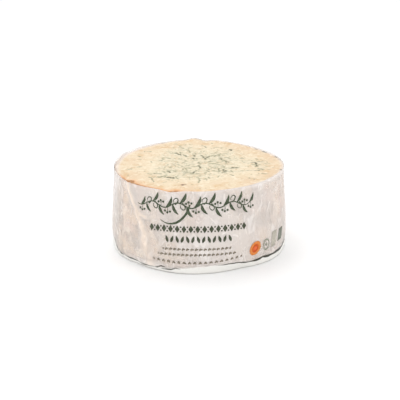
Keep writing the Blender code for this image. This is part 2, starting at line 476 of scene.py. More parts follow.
# Veins and blots of the cut face, each as its strength, its half width, then x and y of every point of its
# path, in millimetres from the middle of the face
VEIN_STROKES = (
    (0.50, 1.1, -26, 71, -21, 70),
    (0.25, 0.9, -50, 88, -44, 84),
    (0.30, 1.0, -21, 86, -16, 82),
    (0.30, 1.0, -12, 88, -9, 82),
    (0.65, 1.2, -15, 59, -12, 55, -11, 51),
    (0.40, 1.1, -41, 56, -37, 53),
    (0.45, 1.1, -36, 48, -33, 44),
    (0.85, 1.5, -28, 46, -26, 42, -25, 40),
    (0.45, 1.0, -32, 46, -28, 44),
    (0.70, 1.2, -23, 48, -22, 42, -22, 36),
    (0.75, 1.4, -18, 39, -16, 34, -15, 32),
    (0.65, 1.2, -40, 22, -36, 21),
    (0.55, 1.1, -25, 23, -21, 20, -15, 14),
    (0.45, 1.1, -30, 10, -25, 13),
    (0.85, 1.5, -6, 39, -5, 35, -4, 33),
    (0.65, 1.1, -4, 48, -3, 44, 3, 46),
    (1.00, 1.5, -7, 26, -6, 22),
    (0.50, 1.1, -5, 28, -3, 24, -1, 22),
    (0.85, 1.5, 4, 39, 6, 31, 8, 23, 9, 20),
    (0.80, 1.3, 8, 22, 12, 28, 15, 33, 18, 36, 23, 35, 26, 34),
    (0.50, 1.0, 26, 34, 28, 42, 27, 46),
    (0.70, 1.4, 0, 10, 1, 4, 3, 0),
    (0.55, 1.1, 2, 4, 6, 6, 9, 3),
    (0.55, 1.2, -21, -9, -14, -8, -9, -6, -4, -4),
    (0.50, 1.1, -11, 9, -6, 5),
    (0.70, 1.3, 0, -7, 2, -13, 2, -20),
    (0.65, 1.2, 5, 79, 8, 77, 10, 73),
    (0.50, 1.1, 17, 91, 19, 89),
    (0.40, 1.0, 20, 71, 25, 73, 33, 74, 37, 70),
    (0.30, 0.9, 2, 64, 7, 67),
    (1.00, 1.5, 41, 63, 42, 59),
    (0.65, 1.2, 53, 28, 58, 27),
    (0.30, 0.9, 29, 38, 33, 45, 36, 43, 39, 48),
    (0.30, 0.9, 13, 44, 17, 45),
    (0.80, 1.6, 27, 25, 29, 20, 29, 16),
    (0.60, 1.1, 33, 25, 36, 27, 40, 22),
    (0.95, 1.6, 32, 14, 34, 10, 37, 9),
    (0.50, 1.1, 23, 7, 29, 5),
    (0.50, 1.1, 14, 2, 18, 2),
    (0.45, 1.0, 12, 19, 16, 16, 20, 20),
    (0.45, 1.0, 30, -3, 38, -2),
    (0.95, 1.7, 42, -12, 46, -14, 47, -15),
    (0.60, 1.2, 35, -15, 42, -14),
    (0.45, 1.0, 19, -11, 24, -8, 30, -12, 27, -19, 21, -17, 19, -12),
    (0.60, 1.2, 12, -21, 14, -26),
    (0.45, 1.0, 16, -26, 18, -31, 24, -30, 27, -26),
    (0.90, 1.6, 30, -23, 32, -28, 34, -26),
    (0.65, 1.1, 23, -35, 30, -34, 35, -37),
    (0.40, 1.0, 37, -30, 44, -30, 50, -33),
    (0.45, 1.0, 7, -36, 9, -42),
    (0.60, 1.2, 38, -44, 41, -47),
    (0.60, 1.2, 12, -52, 14, -56),
    (0.50, 1.1, 52, -28, 58, -27),
    (0.55, 1.1, 60, -53, 63, -57, 67, -58),
    (0.60, 1.1, 0, -57, 1, -64, 0, -72),
    (0.50, 1.1, -29, -5, -27, -10),
    (0.50, 1.0, -25, -3, -21, -5),
    (0.50, 1.0, -24, -12, -18, -14, -15, -19),
    (0.85, 1.3, -53, -37, -49, -38, -45, -39),
    (0.40, 1.0, -61, -38, -56, -37),
    (0.70, 1.4, -43, -31, -40, -35),
    (0.90, 1.5, -37, -28, -35, -31, -34, -34),
    (0.50, 1.1, -19, -38, -15, -42),
    (0.85, 1.4, -16, -33, -12, -36, -8, -35),
    (0.90, 1.4, -3, -26, -5, -32, -6, -39),
    (0.60, 1.1, -9, -38, -6, -36),
    (0.40, 1.0, -6, -47, -3, -49),
    (0.95, 1.7, -36, -53, -33, -56, -29, -58),
    (0.60, 1.2, -30, -55, -26, -60, -22, -62),
    (0.45, 1.1, -26, -53, -22, -54),
    (0.55, 1.1, -16, -54, -9, -53),
    (0.50, 0.9, -57, -54, -50, -52, -43, -54, -37, -53),
    (0.45, 1.0, -37, -61, -34, -63),
    (0.75, 1.2, 72, 24, 74, 21),
    (0.65, 1.1, 75, 15, 80, 13),
    (0.60, 1.2, 73, 11, 77, 8),
    (0.95, 1.5, 66, 3, 69, 4, 71, 1, 71, -4),
    (0.90, 1.4, 71, -4, 72, -8, 69, -11),
    (0.45, 1.0, 72, -3, 76, -3),
    (0.45, 1.0, 82, 2, 88, 3),
    (0.35, 1.0, 84, -9, 88, -7),
    (0.75, 1.2, 72, -17, 77, -20, 78, -24, 74, -28, 66, -29, 59, -29),
    (0.70, 1.1, 76, -37, 84, -39),
    (0.35, 1.0, 68, -43, 73, -42),
    (0.35, 1.0, 54, 44, 57, 40),
    (0.55, 1.2, -66, 51, -61, 52),
    (0.65, 1.3, -76, 34, -73, 32),
    (0.40, 1.2, -75, 16, -71, 16),
    (0.30, 1.1, -56, 25, -53, 23),
    (0.70, 1.3, -74, -14, -69, -12),
    (0.65, 1.3, -86, -22, -80, -22),
    (0.25, 1.1, -81, 15, -79, 14),
    (0.30, 1.0, -48, -18, -43, -14),
)


@dataclass(frozen=True)
class CurdLayer:
    """Curds of one size: how wide and how dark the mould between them is, and how many borders are blue."""

    size: float
    width: float
    strength: float
    share: float


@dataclass
class VeinMap:
    """Blue mould on the cut face, worked out on a fine square grid and read off at any place.

    The main veins are strokes at named places. The fine ones between them follow the borders between curds
    of a jittered grid: a border is where the two nearest curds' middles are equally far. Fewer borders are
    blue towards the edge of the face. Tracks of the piercing needles and small specks come on top.
    """

    reach: float = 0.110
    cell: float = 0.0004
    seed: int = 11
    curds: tuple = (
        CurdLayer(0.0135, 0.00095, 1.00, 0.92),
        CurdLayer(0.0080, 0.00072, 0.82, 0.78),
        CurdLayer(0.0046, 0.00050, 0.55, 0.55),
    )
    warps: tuple = ((0.016, 0.0030), (0.005, 0.0013), (0.0022, 0.0006))
    core_x: float = -0.002
    core_y: float = 0.010
    core_radius: float = 0.056
    core_softness: float = 0.024
    core_stretch: float = 0.78
    core_share: float = 0.95
    patches: tuple = (
        Patch(0.073, 0.006, 0.015, 1.00),
        Patch(0.078, -0.022, 0.011, 0.75),
        Patch(0.052, -0.027, 0.011, 0.45),
        Patch(-0.048, -0.034, 0.013, 0.70),
        Patch(-0.036, -0.053, 0.014, 0.80),
        Patch(0.000, 0.010, 0.026, 0.45),
        Patch(-0.022, 0.074, 0.014, 0.35),
        Patch(-0.074, 0.030, 0.026, -0.6),
        Patch(-0.082, -0.016, 0.020, -0.5),
        Patch(0.036, -0.066, 0.024, -0.5),
        Patch(0.070, 0.060, 0.020, -0.4),
    )
    growth_noise: tuple = (0.020, 0.26)
    least_growth: float = 0.03
    faint_share: float = 0.34
    network_strength: float = 0.62
    strokes: tuple = VEIN_STROKES
    stroke_warps: tuple = ((0.0050, 0.0008), (0.0020, 0.0006))
    stroke_noise: float = 0.0022
    needle_count: int = 16
    needle_width: float = 0.0007
    needle_turn: float = 9.0
    needle_aside: float = 0.006
    needle_starts: tuple = (0.010, 0.030)
    needle_ends: tuple = (0.058, 0.084)
    needle_fades: tuple = (0.006, 0.010)
    needle_strengths: tuple = (0.5, 0.9)
    speck_count: int = 210
    speck_radii: tuple = (0.0004, 0.0013)
    speck_strengths: tuple = (0.35, 1.0)
    speck_reach: float = 0.094
    speck_window: float = 0.004
    halo_spread: float = 0.0042
    halo_gain: float = 2.2
    halo_growth: float = 0.25
    mould: Array = field(init=False)
    halo: Array = field(init=False)

    def __post_init__(self) -> None:
        """Works out the grids of mould and halo."""
        side = int(2 * self.reach / self.cell)
        line = (np.arange(side) + 0.5) * self.cell - self.reach
        x, y = np.meshgrid(line, line, indexing="ij")
        growth = self.growth(x, y)
        crooked_x, crooked_y = self.warp(x, y, self.warps)
        network = [self.needle_tracks(x, y, growth), self.speck_field(x, y, growth)]
        for number, curds in enumerate(self.curds):
            network.append(curds.strength * self.curd_borders(crooked_x, crooked_y, growth, number))
        mould = np.maximum(np.max(network, axis=0) * self.network_strength, self.stroke_field(x, y))
        self.mould = np.clip(mould, 0.0, 1.0)
        soft = self.blur(self.mould, self.halo_spread)
        self.halo = np.clip(soft * self.halo_gain + self.halo_growth * growth, 0.0, 1.0)

    def growth(self, x: Array, y: Array) -> Array:
        """Share of the borders that are blue: full in the core, less outside it.

        Args:
            x, y: places across and along the face.

        Returns:
            The share at each place, from least_growth to 1.
        """
        distance = np.hypot(x - self.core_x, (y - self.core_y) * self.core_stretch)
        outside = eased(distance, self.core_radius - self.core_softness, 2 * self.core_softness)
        share = self.core_share * (1.0 - outside)
        for patch in self.patches:
            share = share + patch.cover(x, y)
        cell, height = self.growth_noise
        share = share + height * SpaceNoise(self.seed + 5).over(x, y, 0.0, cell)
        return np.clip(share, self.least_growth, 1.0)

    def needle_tracks(self, x: Array, y: Array, growth: Array) -> Array:
        """Mould along the tracks of the piercing needles, which ran in from the side towards the middle.

        Each track is a bell curve across a nearly radial line, broken up by noise and faded at both ends.

        Args:
            x, y: places across and along the face.
            growth: share of blue borders at each place.

        Returns:
            Strength of the mould at each place, from 0 to 1.
        """
        random = np.random.default_rng(self.seed + 3)
        broken = np.clip(0.25 + 1.5 * SpaceNoise(self.seed + 80).over(x, y, 0.03, 0.0065), 0.0, 1.0)
        sway = 0.0022 * SpaceNoise(self.seed + 81).over(x, y, 0.03, 0.016)
        total = np.zeros_like(x)
        for number in range(self.needle_count):
            turn = random.uniform(-self.needle_turn, self.needle_turn)
            heading = math.radians(360.0 * number / self.needle_count + turn)
            aside = random.uniform(-self.needle_aside, self.needle_aside)
            start, end = random.uniform(*self.needle_starts), random.uniform(*self.needle_ends)
            along = x * math.cos(heading) + y * math.sin(heading)
            across = y * math.cos(heading) - x * math.sin(heading) - aside + sway
            present = eased(along, start, self.needle_fades[0]) * eased(along, end, -self.needle_fades[1])
            strength = random.uniform(*self.needle_strengths)
            total = np.maximum(total, strength * bump(across, self.needle_width) * present)
        return total * broken * np.clip(0.30 + growth, 0.0, 1.0)

    def stroke_field(self, x: Array, y: Array) -> Array:
        """The veins that stand at named places: a bell curve across each path, ragged and broken up by noise.

        Args:
            x, y: places across and along the face.

        Returns:
            Strength of the mould at each place.
        """
        crooked_x, crooked_y = self.warp(x, y, self.stroke_warps)
        patchy = SpaceNoise(self.seed + 90).over(x, y, 0.05, self.stroke_noise)
        cover = np.zeros_like(x)
        for strength, half_width, *path in self.strokes:
            points = np.array(path, dtype=float).reshape(-1, 2) * MILLIMETRE
            width = half_width * MILLIMETRE
            low = ((points.min(axis=0) - 5 * width + self.reach) / self.cell).astype(int)
            high = ((points.max(axis=0) + 5 * width + self.reach) / self.cell).astype(int)
            near = np.s_[low[0]:high[0], low[1]:high[1]]
            place = np.stack([crooked_x[near], crooked_y[near]], axis=-1)
            distance = np.full(place.shape[:2], np.inf)
            for start, end in zip(points[:-1], points[1:]):
                along = end - start
                share = np.clip(((place - start) @ along) / (along @ along), 0.0, 1.0)
                off = place - start - share[..., None] * along
                distance = np.minimum(distance, np.linalg.norm(off, axis=-1))
            ragged = patchy[near]
            vein = strength * bump(distance, width * (1.0 + 0.5 * ragged)) * (0.85 + 0.4 * ragged)
            cover[near] = np.maximum(cover[near], vein)
        return cover

    def warp(self, x: Array, y: Array, warps: tuple) -> tuple[Array, Array]:
        """Places pushed about by layers of noise, given as (cell, push), so that lines run crooked.

        Args:
            x, y: places across and along the face.
            warps: each layer's cell and push in metres.

        Returns:
            The pushed places.
        """
        shift_x, shift_y = np.zeros_like(x), np.zeros_like(y)
        for number, (cell, push) in enumerate(warps):
            shift_x += push * SpaceNoise(self.seed + 20 + number).over(x, y, 0.0, cell)
            shift_y += push * SpaceNoise(self.seed + 40 + number).over(x, y, 0.0, cell)
        return x + shift_x, y + shift_y

    def curd_borders(self, x: Array, y: Array, growth: Array, number: int) -> Array:
        """Blue lines along the borders between curds of one layer.

        Each curd has its middle at a jittered place in a square of the curds' size. The distance to the
        border with the second nearest curd is (f2^2 - f1^2) / (2 d), where f1 and f2 are the distances to the
        two middles and d is the distance between them. Each pair of curds draws whether its border is blue,
        how wide and how dark.

        Args:
            x, y: places across and along the face.
            growth: share of blue borders at each place.
            number: which of the layers this is.

        Returns:
            Strength of the mould at each place, from 0 to 1.
        """
        curds = self.curds[number]
        random = np.random.default_rng(self.seed + 100 * number)
        side = int(2 * self.reach / curds.size) + 6
        jitter = random.uniform(0.12, 0.88, (side, side, 2))
        pair_draws = random.uniform(0.0, 1.0, (3, 4096))
        column = np.floor(x / curds.size).astype(np.int64)
        row = np.floor(y / curds.size).astype(np.int64)
        first = np.full(x.shape, np.inf)
        second = first.copy()
        first_id = np.zeros(x.shape, np.int64)
        second_id = first_id.copy()
        for step_x, step_y in np.ndindex(3, 3):
            at_column, at_row = column + step_x - 1, row + step_y - 1
            place = jitter[at_column % side, at_row % side]
            off_x = x - (at_column + place[..., 0]) * curds.size
            off_y = y - (at_row + place[..., 1]) * curds.size
            distance = np.hypot(off_x, off_y)
            curd_id = (at_column % side) * side + at_row % side
            nearer = distance < first
            between = ~nearer & (distance < second)
            second = np.where(nearer, first, np.where(between, distance, second))
            second_id = np.where(nearer, first_id, np.where(between, curd_id, second_id))
            first = np.where(nearer, distance, first)
            first_id = np.where(nearer, curd_id, first_id)
        first_place = jitter[first_id // side, first_id % side]
        second_place = jitter[second_id // side, second_id % side]
        cells_x = turned_cells(first_id // side - second_id // side, side)
        cells_y = turned_cells(first_id % side - second_id % side, side)
        apart_x = cells_x + first_place[..., 0] - second_place[..., 0]
        apart_y = cells_y + first_place[..., 1] - second_place[..., 1]
        apart = np.maximum(np.hypot(apart_x, apart_y) * curds.size, 0.2 * curds.size)
        border = (second**2 - first**2) / (2 * apart)
        pair = (np.minimum(first_id, second_id) * 7919 + np.maximum(first_id, second_id) * 104729) % 4096
        blue = pair_draws[0][pair] < growth * curds.share
        width = curds.width * (0.45 + 1.5 * pair_draws[1][pair] ** 2)
        dark = 0.45 + 0.55 * pair_draws[2][pair]
        patchy = SpaceNoise(self.seed + 60 + number).over(x, y, 0.01 * number, 0.0045)
        swell = np.clip(0.75 + 0.9 * patchy, 0.15, 1.6)
        strong = dark * bump(border, width * swell) * np.clip(0.65 + 0.8 * patchy, 0.0, 1.0)
        thin = bump(border, 0.6 * curds.width) * np.clip(0.7 + patchy, 0.0, 1.0)
        return np.where(blue, strong, self.faint_share * growth * thin)

    def speck_field(self, x: Array, y: Array, growth: Array) -> Array:
        """Many small blots of mould, drawn where mould grows.

        Args:
            x, y: places across and along the face.
            growth: share of blue borders at each place.

        Returns:
            Strength of the mould at each place, from 0 to 1.
        """
        random = np.random.default_rng(self.seed + 7)
        cover = np.zeros_like(x)
        angle = random.uniform(0.0, 2 * math.pi, self.speck_count)
        far = self.speck_reach * np.sqrt(random.uniform(0.0, 1.0, self.speck_count))
        radius = random.uniform(*self.speck_radii, self.speck_count)
        strength = random.uniform(*self.speck_strengths, self.speck_count)
        draw = random.uniform(0.0, 1.0, self.speck_count)
        centre_x, centre_y = far * np.cos(angle), far * np.sin(angle)
        column = ((centre_x + self.reach) / self.cell).astype(int)
        row = ((centre_y + self.reach) / self.cell).astype(int)
        window = int(self.speck_window / self.cell)
        for at in np.flatnonzero(draw <= growth[column, row] * 0.9 + 0.10):
            near = np.s_[column[at] - window:column[at] + window, row[at] - window:row[at] + window]
            distance = np.hypot(x[near] - centre_x[at], y[near] - centre_y[at])
            cover[near] = np.maximum(cover[near], strength[at] * bump(distance, radius[at]))
        return cover

    def blur(self, values: Array, spread: float) -> Array:
        """Values spread softly over their surroundings, by a bell curve in the frequency domain.

        Args:
            values: a grid over the face.
            spread: the bell curve's spread in metres.

        Returns:
            The grid, softened.
        """
        wave = np.fft.fftfreq(values.shape[0], self.cell)
        damp = np.exp(-2 * (math.pi * spread * wave) ** 2)
        return np.real(np.fft.ifft2(np.fft.fft2(values) * damp[:, None] * damp[None, :]))

    def read(self, grid: Array, x: Array, y: Array) -> Array:
        """Values of a grid at places on the face, eased linearly between its cells.

        Args:
            grid: a grid over the face.
            x, y: places across and along the face.

        Returns:
            The value at each place.
        """
        across = np.clip((x + self.reach) / self.cell - 0.5, 0, grid.shape[0] - 1.001)
        along = np.clip((y + self.reach) / self.cell - 0.5, 0, grid.shape[1] - 1.001)
        column, row = across.astype(np.int64), along.astype(np.int64)
        share_x, share_y = across - column, along - row
        lower = grid[column, row] * (1 - share_x) + grid[column + 1, row] * share_x
        upper = grid[column, row + 1] * (1 - share_x) + grid[column + 1, row + 1] * share_x
        return lower * (1 - share_y) + upper * share_y


def turned_cells(difference: Array, side: int) -> Array:
    """A difference between cell numbers that repeat every side cells, kept between -side / 2 and side / 2."""
    return (difference + side // 2) % side - side // 2


@dataclass
class Cheese:
    """Paste and rind in one closed piece, with the cut face, the sagged side and the rind end.

    A stain is given as its azimuth, its spread in degrees, its strength and how far in from the edge it goes.
    """

    shape: TruckleShape
    shift: Array
    veins: VeinMap
    face_rings: int = 130
    side_rows: int = 60
    inset: float = 0.0009
    edge_rounding: float = 0.0009
    edge_rows: int = 3
    edge_start: float = 0.0008
    face_drop: float = 0.0006
    face_waves: int = 14
    face_wave_height: float = 0.00014
    face_wave_lengths: tuple = (0.016, 0.060)
    face_seed: int = 27
    crumb_sizes: tuple = ((0.00016, 0.0042), (0.00005, 0.0011))
    crust_sizes: tuple = ((0.00032, 0.0085), (0.00007, 0.0016))
    crust_depth: float = 0.0003
    crown_crust: float = 0.00030
    calm_base: tuple = (0.020, 0.014, 0.6)
    vein_depth: float = 0.0006
    pit_depth: float = 0.0009
    edge_wear: float = 0.0004
    crumbled_reach: float = 0.018
    shoulders: tuple = ((-113.0, 36.0, 0.0044), (126.0, 14.0, 0.0020))
    shoulder_start: float = 0.0988
    crown_radius: float = 0.054
    crown_step: float = 0.004
    fold_space: float = 0.0022
    under_gap: float = 0.0006
    stains: tuple = (
        (-52.2, 2.4, 2.80, 0.0050),
        (-49.0, 4.5, 0.40, 0.0078),
        (-45.0, 12.0, 0.85, 0.0017),
        (-43.5, 4.5, 0.34, 0.0062),
        (-36.0, 5.0, 0.50, 0.0038),
        (-29.0, 7.0, 0.38, 0.0032),
        (-60.0, 6.0, 0.70, 0.0030),
        (-15.6, 4.0, 1.08, 0.0062),
        (-23.0, 6.0, 0.45, 0.0040),
        (-4.0, 8.0, 0.25, 0.0045),
        (12.0, 6.0, 0.15, 0.0040),
    )
    # Pale bloom near the rim, partly painted light that lightens the shaded gap where the film stands off:
    # strength round the rim, and reach on the face and on the side.
    bloom_and_painted_light_azimuths: tuple = (-165.0, -148.0, -110.0, -76.0, -60.0, 30.0, 55.0, 75.0, 100.0, 125.0, 140.0)
    bloom_and_painted_light_strengths: tuple = (0.2, 0.6, 0.65, 0.6, 0.2, 0.2, 0.6, 0.8, 0.7, 0.4, 0.1)
    bloom_and_painted_light_reaches: tuple = (0.0030, 0.0180)
    rim_marks: tuple = (
        (131.0, 1.8, 0.8),
        (122.0, 3.6, 1.0),
        (107.0, 2.4, 0.9),
        (100.0, 1.6, 0.5),
        (77.0, 1.6, 0.9),
        (-152.0, 1.5, 0.4),
    )
    mark_reaches: tuple = (0.0024, 0.0016)
    brown_pits: tuple = (
        Patch(-0.0186, -0.0800, 0.0023, 0.84),
        Patch(-0.0146, -0.0784, 0.0025, 0.50),
        Patch(0.0600, -0.0560, 0.0018, 0.60),
        Patch(0.0655, -0.0610, 0.0020, 0.60),
        Patch(-0.0040, -0.0918, 0.0022, 0.42),
        Patch(0.0020, -0.0926, 0.0024, 0.45),
        Patch(0.0085, -0.0916, 0.0022, 0.42),
    )

    def shoulder_inset(self, azimuth: Array, height: Array) -> Array:
        """How far the worn shoulders of the rind draw in behind the film, most of all at the upper left.

        Args:
            azimuth, height: degrees from the front and metres above the table.

        Returns:
            The inset in metres.
        """
        climb = ease((height - self.shoulder_start) / (self.shape.height - self.shoulder_start))
        depths = (inset * plateau(turned(azimuth, at), spread) for at, spread, inset in self.shoulders)
        return sum(depths) * climb

    def edge_radius(self, azimuth: Array) -> Array:
        """Radius of the cut face at each azimuth."""
        plain = self.shape.rim_radius - self.inset - self.edge_rounding
        return plain + self.shape.outline_wave(azimuth) - self.shoulder_inset(azimuth, self.shape.height)

    def face_waves_at(self, x: Array, y: Array) -> Array:
        """Shallow unevenness of the cut face: a sum of seeded waves in all directions.

        Args:
            x, y: places across and along the face.

        Returns:
            The height in metres.
        """
        random = np.random.default_rng(self.face_seed)
        heading = random.uniform(0.0, 2 * math.pi, self.face_waves)
        length = random.uniform(*self.face_wave_lengths, self.face_waves)
        phase = random.uniform(0.0, 2 * math.pi, self.face_waves)
        across = x[:, None] * np.cos(heading) + y[:, None] * np.sin(heading)
        return self.face_wave_height * np.sin(2 * math.pi * across / length + phase).sum(axis=1)

    def rim_values(self, azimuth: Array, distance: Array, side: int) -> dict[str, Array]:
        """What the material reads near the rim, by azimuth and by distance from the cut edge.

        Args:
            azimuth: degrees from the front.
            distance: metres from the cut edge, inwards or down.
            side: 0 on the cut face and 1 on the rind's side, where a stain reaches half as far.

        Returns:
            Orange-brown stain, dark mouldy marks on the rim itself, and pale bloom where the film stands off,
            which is also painted light that lightens the shaded gap behind the film.
        """
        stain, mark = np.zeros_like(azimuth), np.zeros_like(azimuth)
        for centre, spread, strength, reach in self.stains:
            stain += strength * bump(turned(azimuth, centre), spread) * bump((1 + side) * distance, reach)
        for centre, spread, strength in self.rim_marks:
            hill = bump(turned(azimuth, centre), spread) ** 2
            mark += strength * hill * bump(distance, self.mark_reaches[side])
        # Pale bloom, partly painted light that lightens the rind where the film's gap puts it in shade.
        bloom_and_painted_light = round_table(azimuth, self.bloom_and_painted_light_azimuths, self.bloom_and_painted_light_strengths)
        return {"stain": stain, "mark": mark, "bloom_and_painted_light": bloom_and_painted_light * bump(distance, self.bloom_and_painted_light_reaches[side])}

    def face(self) -> tuple[Array, Array, dict[str, Array]]:
        """The cut face as a disc of fine triangles.

        Its height is level, with shallow waves and the crumb of the curd, less a groove along each vein and
        the drop of the crumbled edge near the rim.

        Returns:
            Points, triangles and the values that the material reads.
        """
        ring, turn, triangles = disc_grid(self.face_rings)
        azimuth = turned(turn * 360.0, 0.0)
        fraction = ring / self.face_rings
        flat = on_ring(azimuth, self.edge_radius(azimuth) * fraction, 0.0)
        x, y = flat[:, 0], flat[:, 1]
        mould, halo = self.veins.read(self.veins.mould, x, y), self.veins.read(self.veins.halo, x, y)
        pits = sum(pit.cover(x, y) for pit in self.brown_pits)
        reach = self.crumbled_reach / self.shape.rim_radius
        near_rim = eased(fraction, 1.0 - reach, reach)
        (coarse, coarse_cell), (fine, fine_cell) = self.crumb_sizes
        relief = coarse * SpaceNoise(3).layered(flat, coarse_cell, 3)
        relief += fine * SpaceNoise(4).at(flat, fine_cell)
        relief += self.face_waves_at(x, y) * (1.0 - near_rim)
        relief -= self.vein_depth * mould + self.pit_depth * pits
        relief -= self.shape.rim_drop(azimuth) * near_rim
        relief -= self.edge_wear * eased(fraction, 0.985, 0.015)
        flat[:, 2] = self.shape.height - self.face_drop + relief
        values = {
            "mould": mould * (1.0 - 0.9 * eased(fraction, 0.93, 0.05)),
            "halo": halo * (1.0 - eased(fraction, 0.80, 0.18)),
            "warmth": eased(fraction, 0.55, 0.45),
            "pit": pits,
            "rind": 0.85 * eased(fraction, 0.988, 0.012),
        }
        return flat, triangles, values | self.rim_values(azimuth, self.shape.rim_radius * (1.0 - fraction), 0)

    def side_profile(self) -> tuple[Array, Array]:
        """Plain form of the rind from just under the cut edge to just before its flat underside.

        Returns:
            Radius and height of each row, drawn in from the film's profile along its normal.
        """
        wall = np.linspace(self.shape.height - self.edge_start, self.shape.roll_height, self.side_rows)
        turn = np.linspace(0.0, math.pi / 2, 8)[1:]
        radius, height = self.shape.profile(wall, turn, np.zeros(0))
        out, up = profile_normals(radius, height)
        return radius - self.inset * out, np.maximum(height - self.inset * up, self.fold_space)

    def side(self, azimuth: Array, radius: Array, height: Array) -> tuple[Array, dict[str, Array]]:
        """Rows of the rind's side.

        Args:
            azimuth: azimuths of one row.
            radius: plain radius of each row.
            height: plain height of each row.

        Returns:
            The points, row by row, and the values that the material reads.
        """
        azimuth, radius, height = np.broadcast_arrays(azimuth[None, :], radius[:, None], height[:, None])
        radius = radius + self.shape.outline_wave(azimuth) - self.shoulder_inset(azimuth, height)
        radius = radius + self.shape.base_spread(azimuth, height)
        near_rim = self.shape.near_rim(height)
        lowered = height - self.shape.rim_drop(azimuth) * near_rim
        plain = on_ring(azimuth, radius, lowered)
        (coarse, coarse_cell), (fine, fine_cell) = self.crust_sizes
        crust = coarse * SpaceNoise(8).layered(plain, coarse_cell, 3)
        crust += fine * SpaceNoise(9).at(plain, fine_cell)
        calm_height, calm_length, calm = self.calm_base
        low = eased(height, calm_height, -calm_length)
        crust = crust.reshape(radius.shape) * (1.0 - 0.7 * near_rim) * (1.0 - calm * low)
        points = on_ring(azimuth, radius + crust - self.crust_depth * (1.0 + low), lowered)
        values = {"rind": np.ones(len(points))}
        return points, values | self.rim_values(azimuth.ravel(), (self.shape.height - height).ravel(), 1)

    def underside(self, rings: int, edge: float) -> tuple[Array, Array]:
        """The rind end: a flat crown that meets the table, a step up and a ring clear of the folded film.

        Args:
            rings: rings of the disc grid.
            edge: radius of its outermost ring.

        Returns:
            Points and triangles, facing down.
        """
        ring, turn, triangles = disc_grid(rings)
        azimuth = turned(turn * 360.0, 0.0)
        crown = rings // 2
        stops = (0, crown, crown + 2, rings)
        radius = np.interp(ring, stops, (0.0, self.crown_radius, self.crown_radius + self.crown_step, edge))
        lift = eased(radius, self.crown_radius, self.crown_step) * self.fold_space
        outline = 0.25 * self.shape.outline_wave(azimuth) + self.shape.base_bulge(azimuth)
        plain = on_ring(azimuth, radius + outline * (ring / rings) ** 3, lift)
        crust = SpaceNoise(8).layered(plain, self.crust_sizes[0][1], 3) * self.crown_crust
        plain[:, 2] += np.where(ring < rings, np.maximum(crust, 0.0), 0.0)
        return plain, triangles[:, ::-1]

    def build(self, material: Material) -> Object:
        """Joins the face, the side and the underside into one closed piece.

        Args:
            material: paste and rind.

        Returns:
            The piece.
        """
        face, face_triangles, values = self.face()
        around = 6 * self.face_rings
        half = around // 2
        azimuth = np.arange(around) * 360.0 / around
        radius, height = self.side_profile()
        fine = self.edge_rows
        top_points, top_values = self.side(azimuth, radius[:fine], height[:fine])
        low_points, low_values = self.side(azimuth[::2], radius[fine:], height[fine:])
        under, under_triangles = self.underside(self.face_rings // 2, radius[-1] - self.under_gap)

        rim = len(face) - around + np.arange(around)
        top = len(face) + np.arange(fine * around).reshape(fine, around)
        low_rows = len(radius) - fine
        low = len(face) + len(top_points) + np.arange(low_rows * half).reshape(low_rows, half)
        under_start = len(face) + len(top_points) + len(low_points)
        under_rim = under_start + len(under) - half + np.arange(half)
        faces = [face_triangles, band_triangles(rim, top[0])]
        faces += [band_triangles(top[row], top[row + 1]) for row in range(fine - 1)]
        faces.append(halving_triangles(top[-1], low[0]))
        faces += [band_triangles(low[row], low[row + 1]) for row in range(low_rows - 1)]
        faces.append(band_triangles(low[-1], under_rim))
        faces.append(under_triangles + under_start)

        points = np.concatenate([face, top_points, low_points, under]) + self.shift
        obj = new_mesh("cheese_dressed", points, np.concatenate(faces))
        counts = (len(top_points), len(low_points), len(under))
        below = (top_values, low_values, {"rind": np.ones(len(under))})
        for name, on_face in values.items():
            rest = [given.get(name, np.zeros(count)) for count, given in zip(counts, below)]
            set_values(obj, **{name: np.concatenate([on_face, *rest])})
        finish_piece(obj, Slot.CHEESE, material, Node.CHEESE)
        return obj


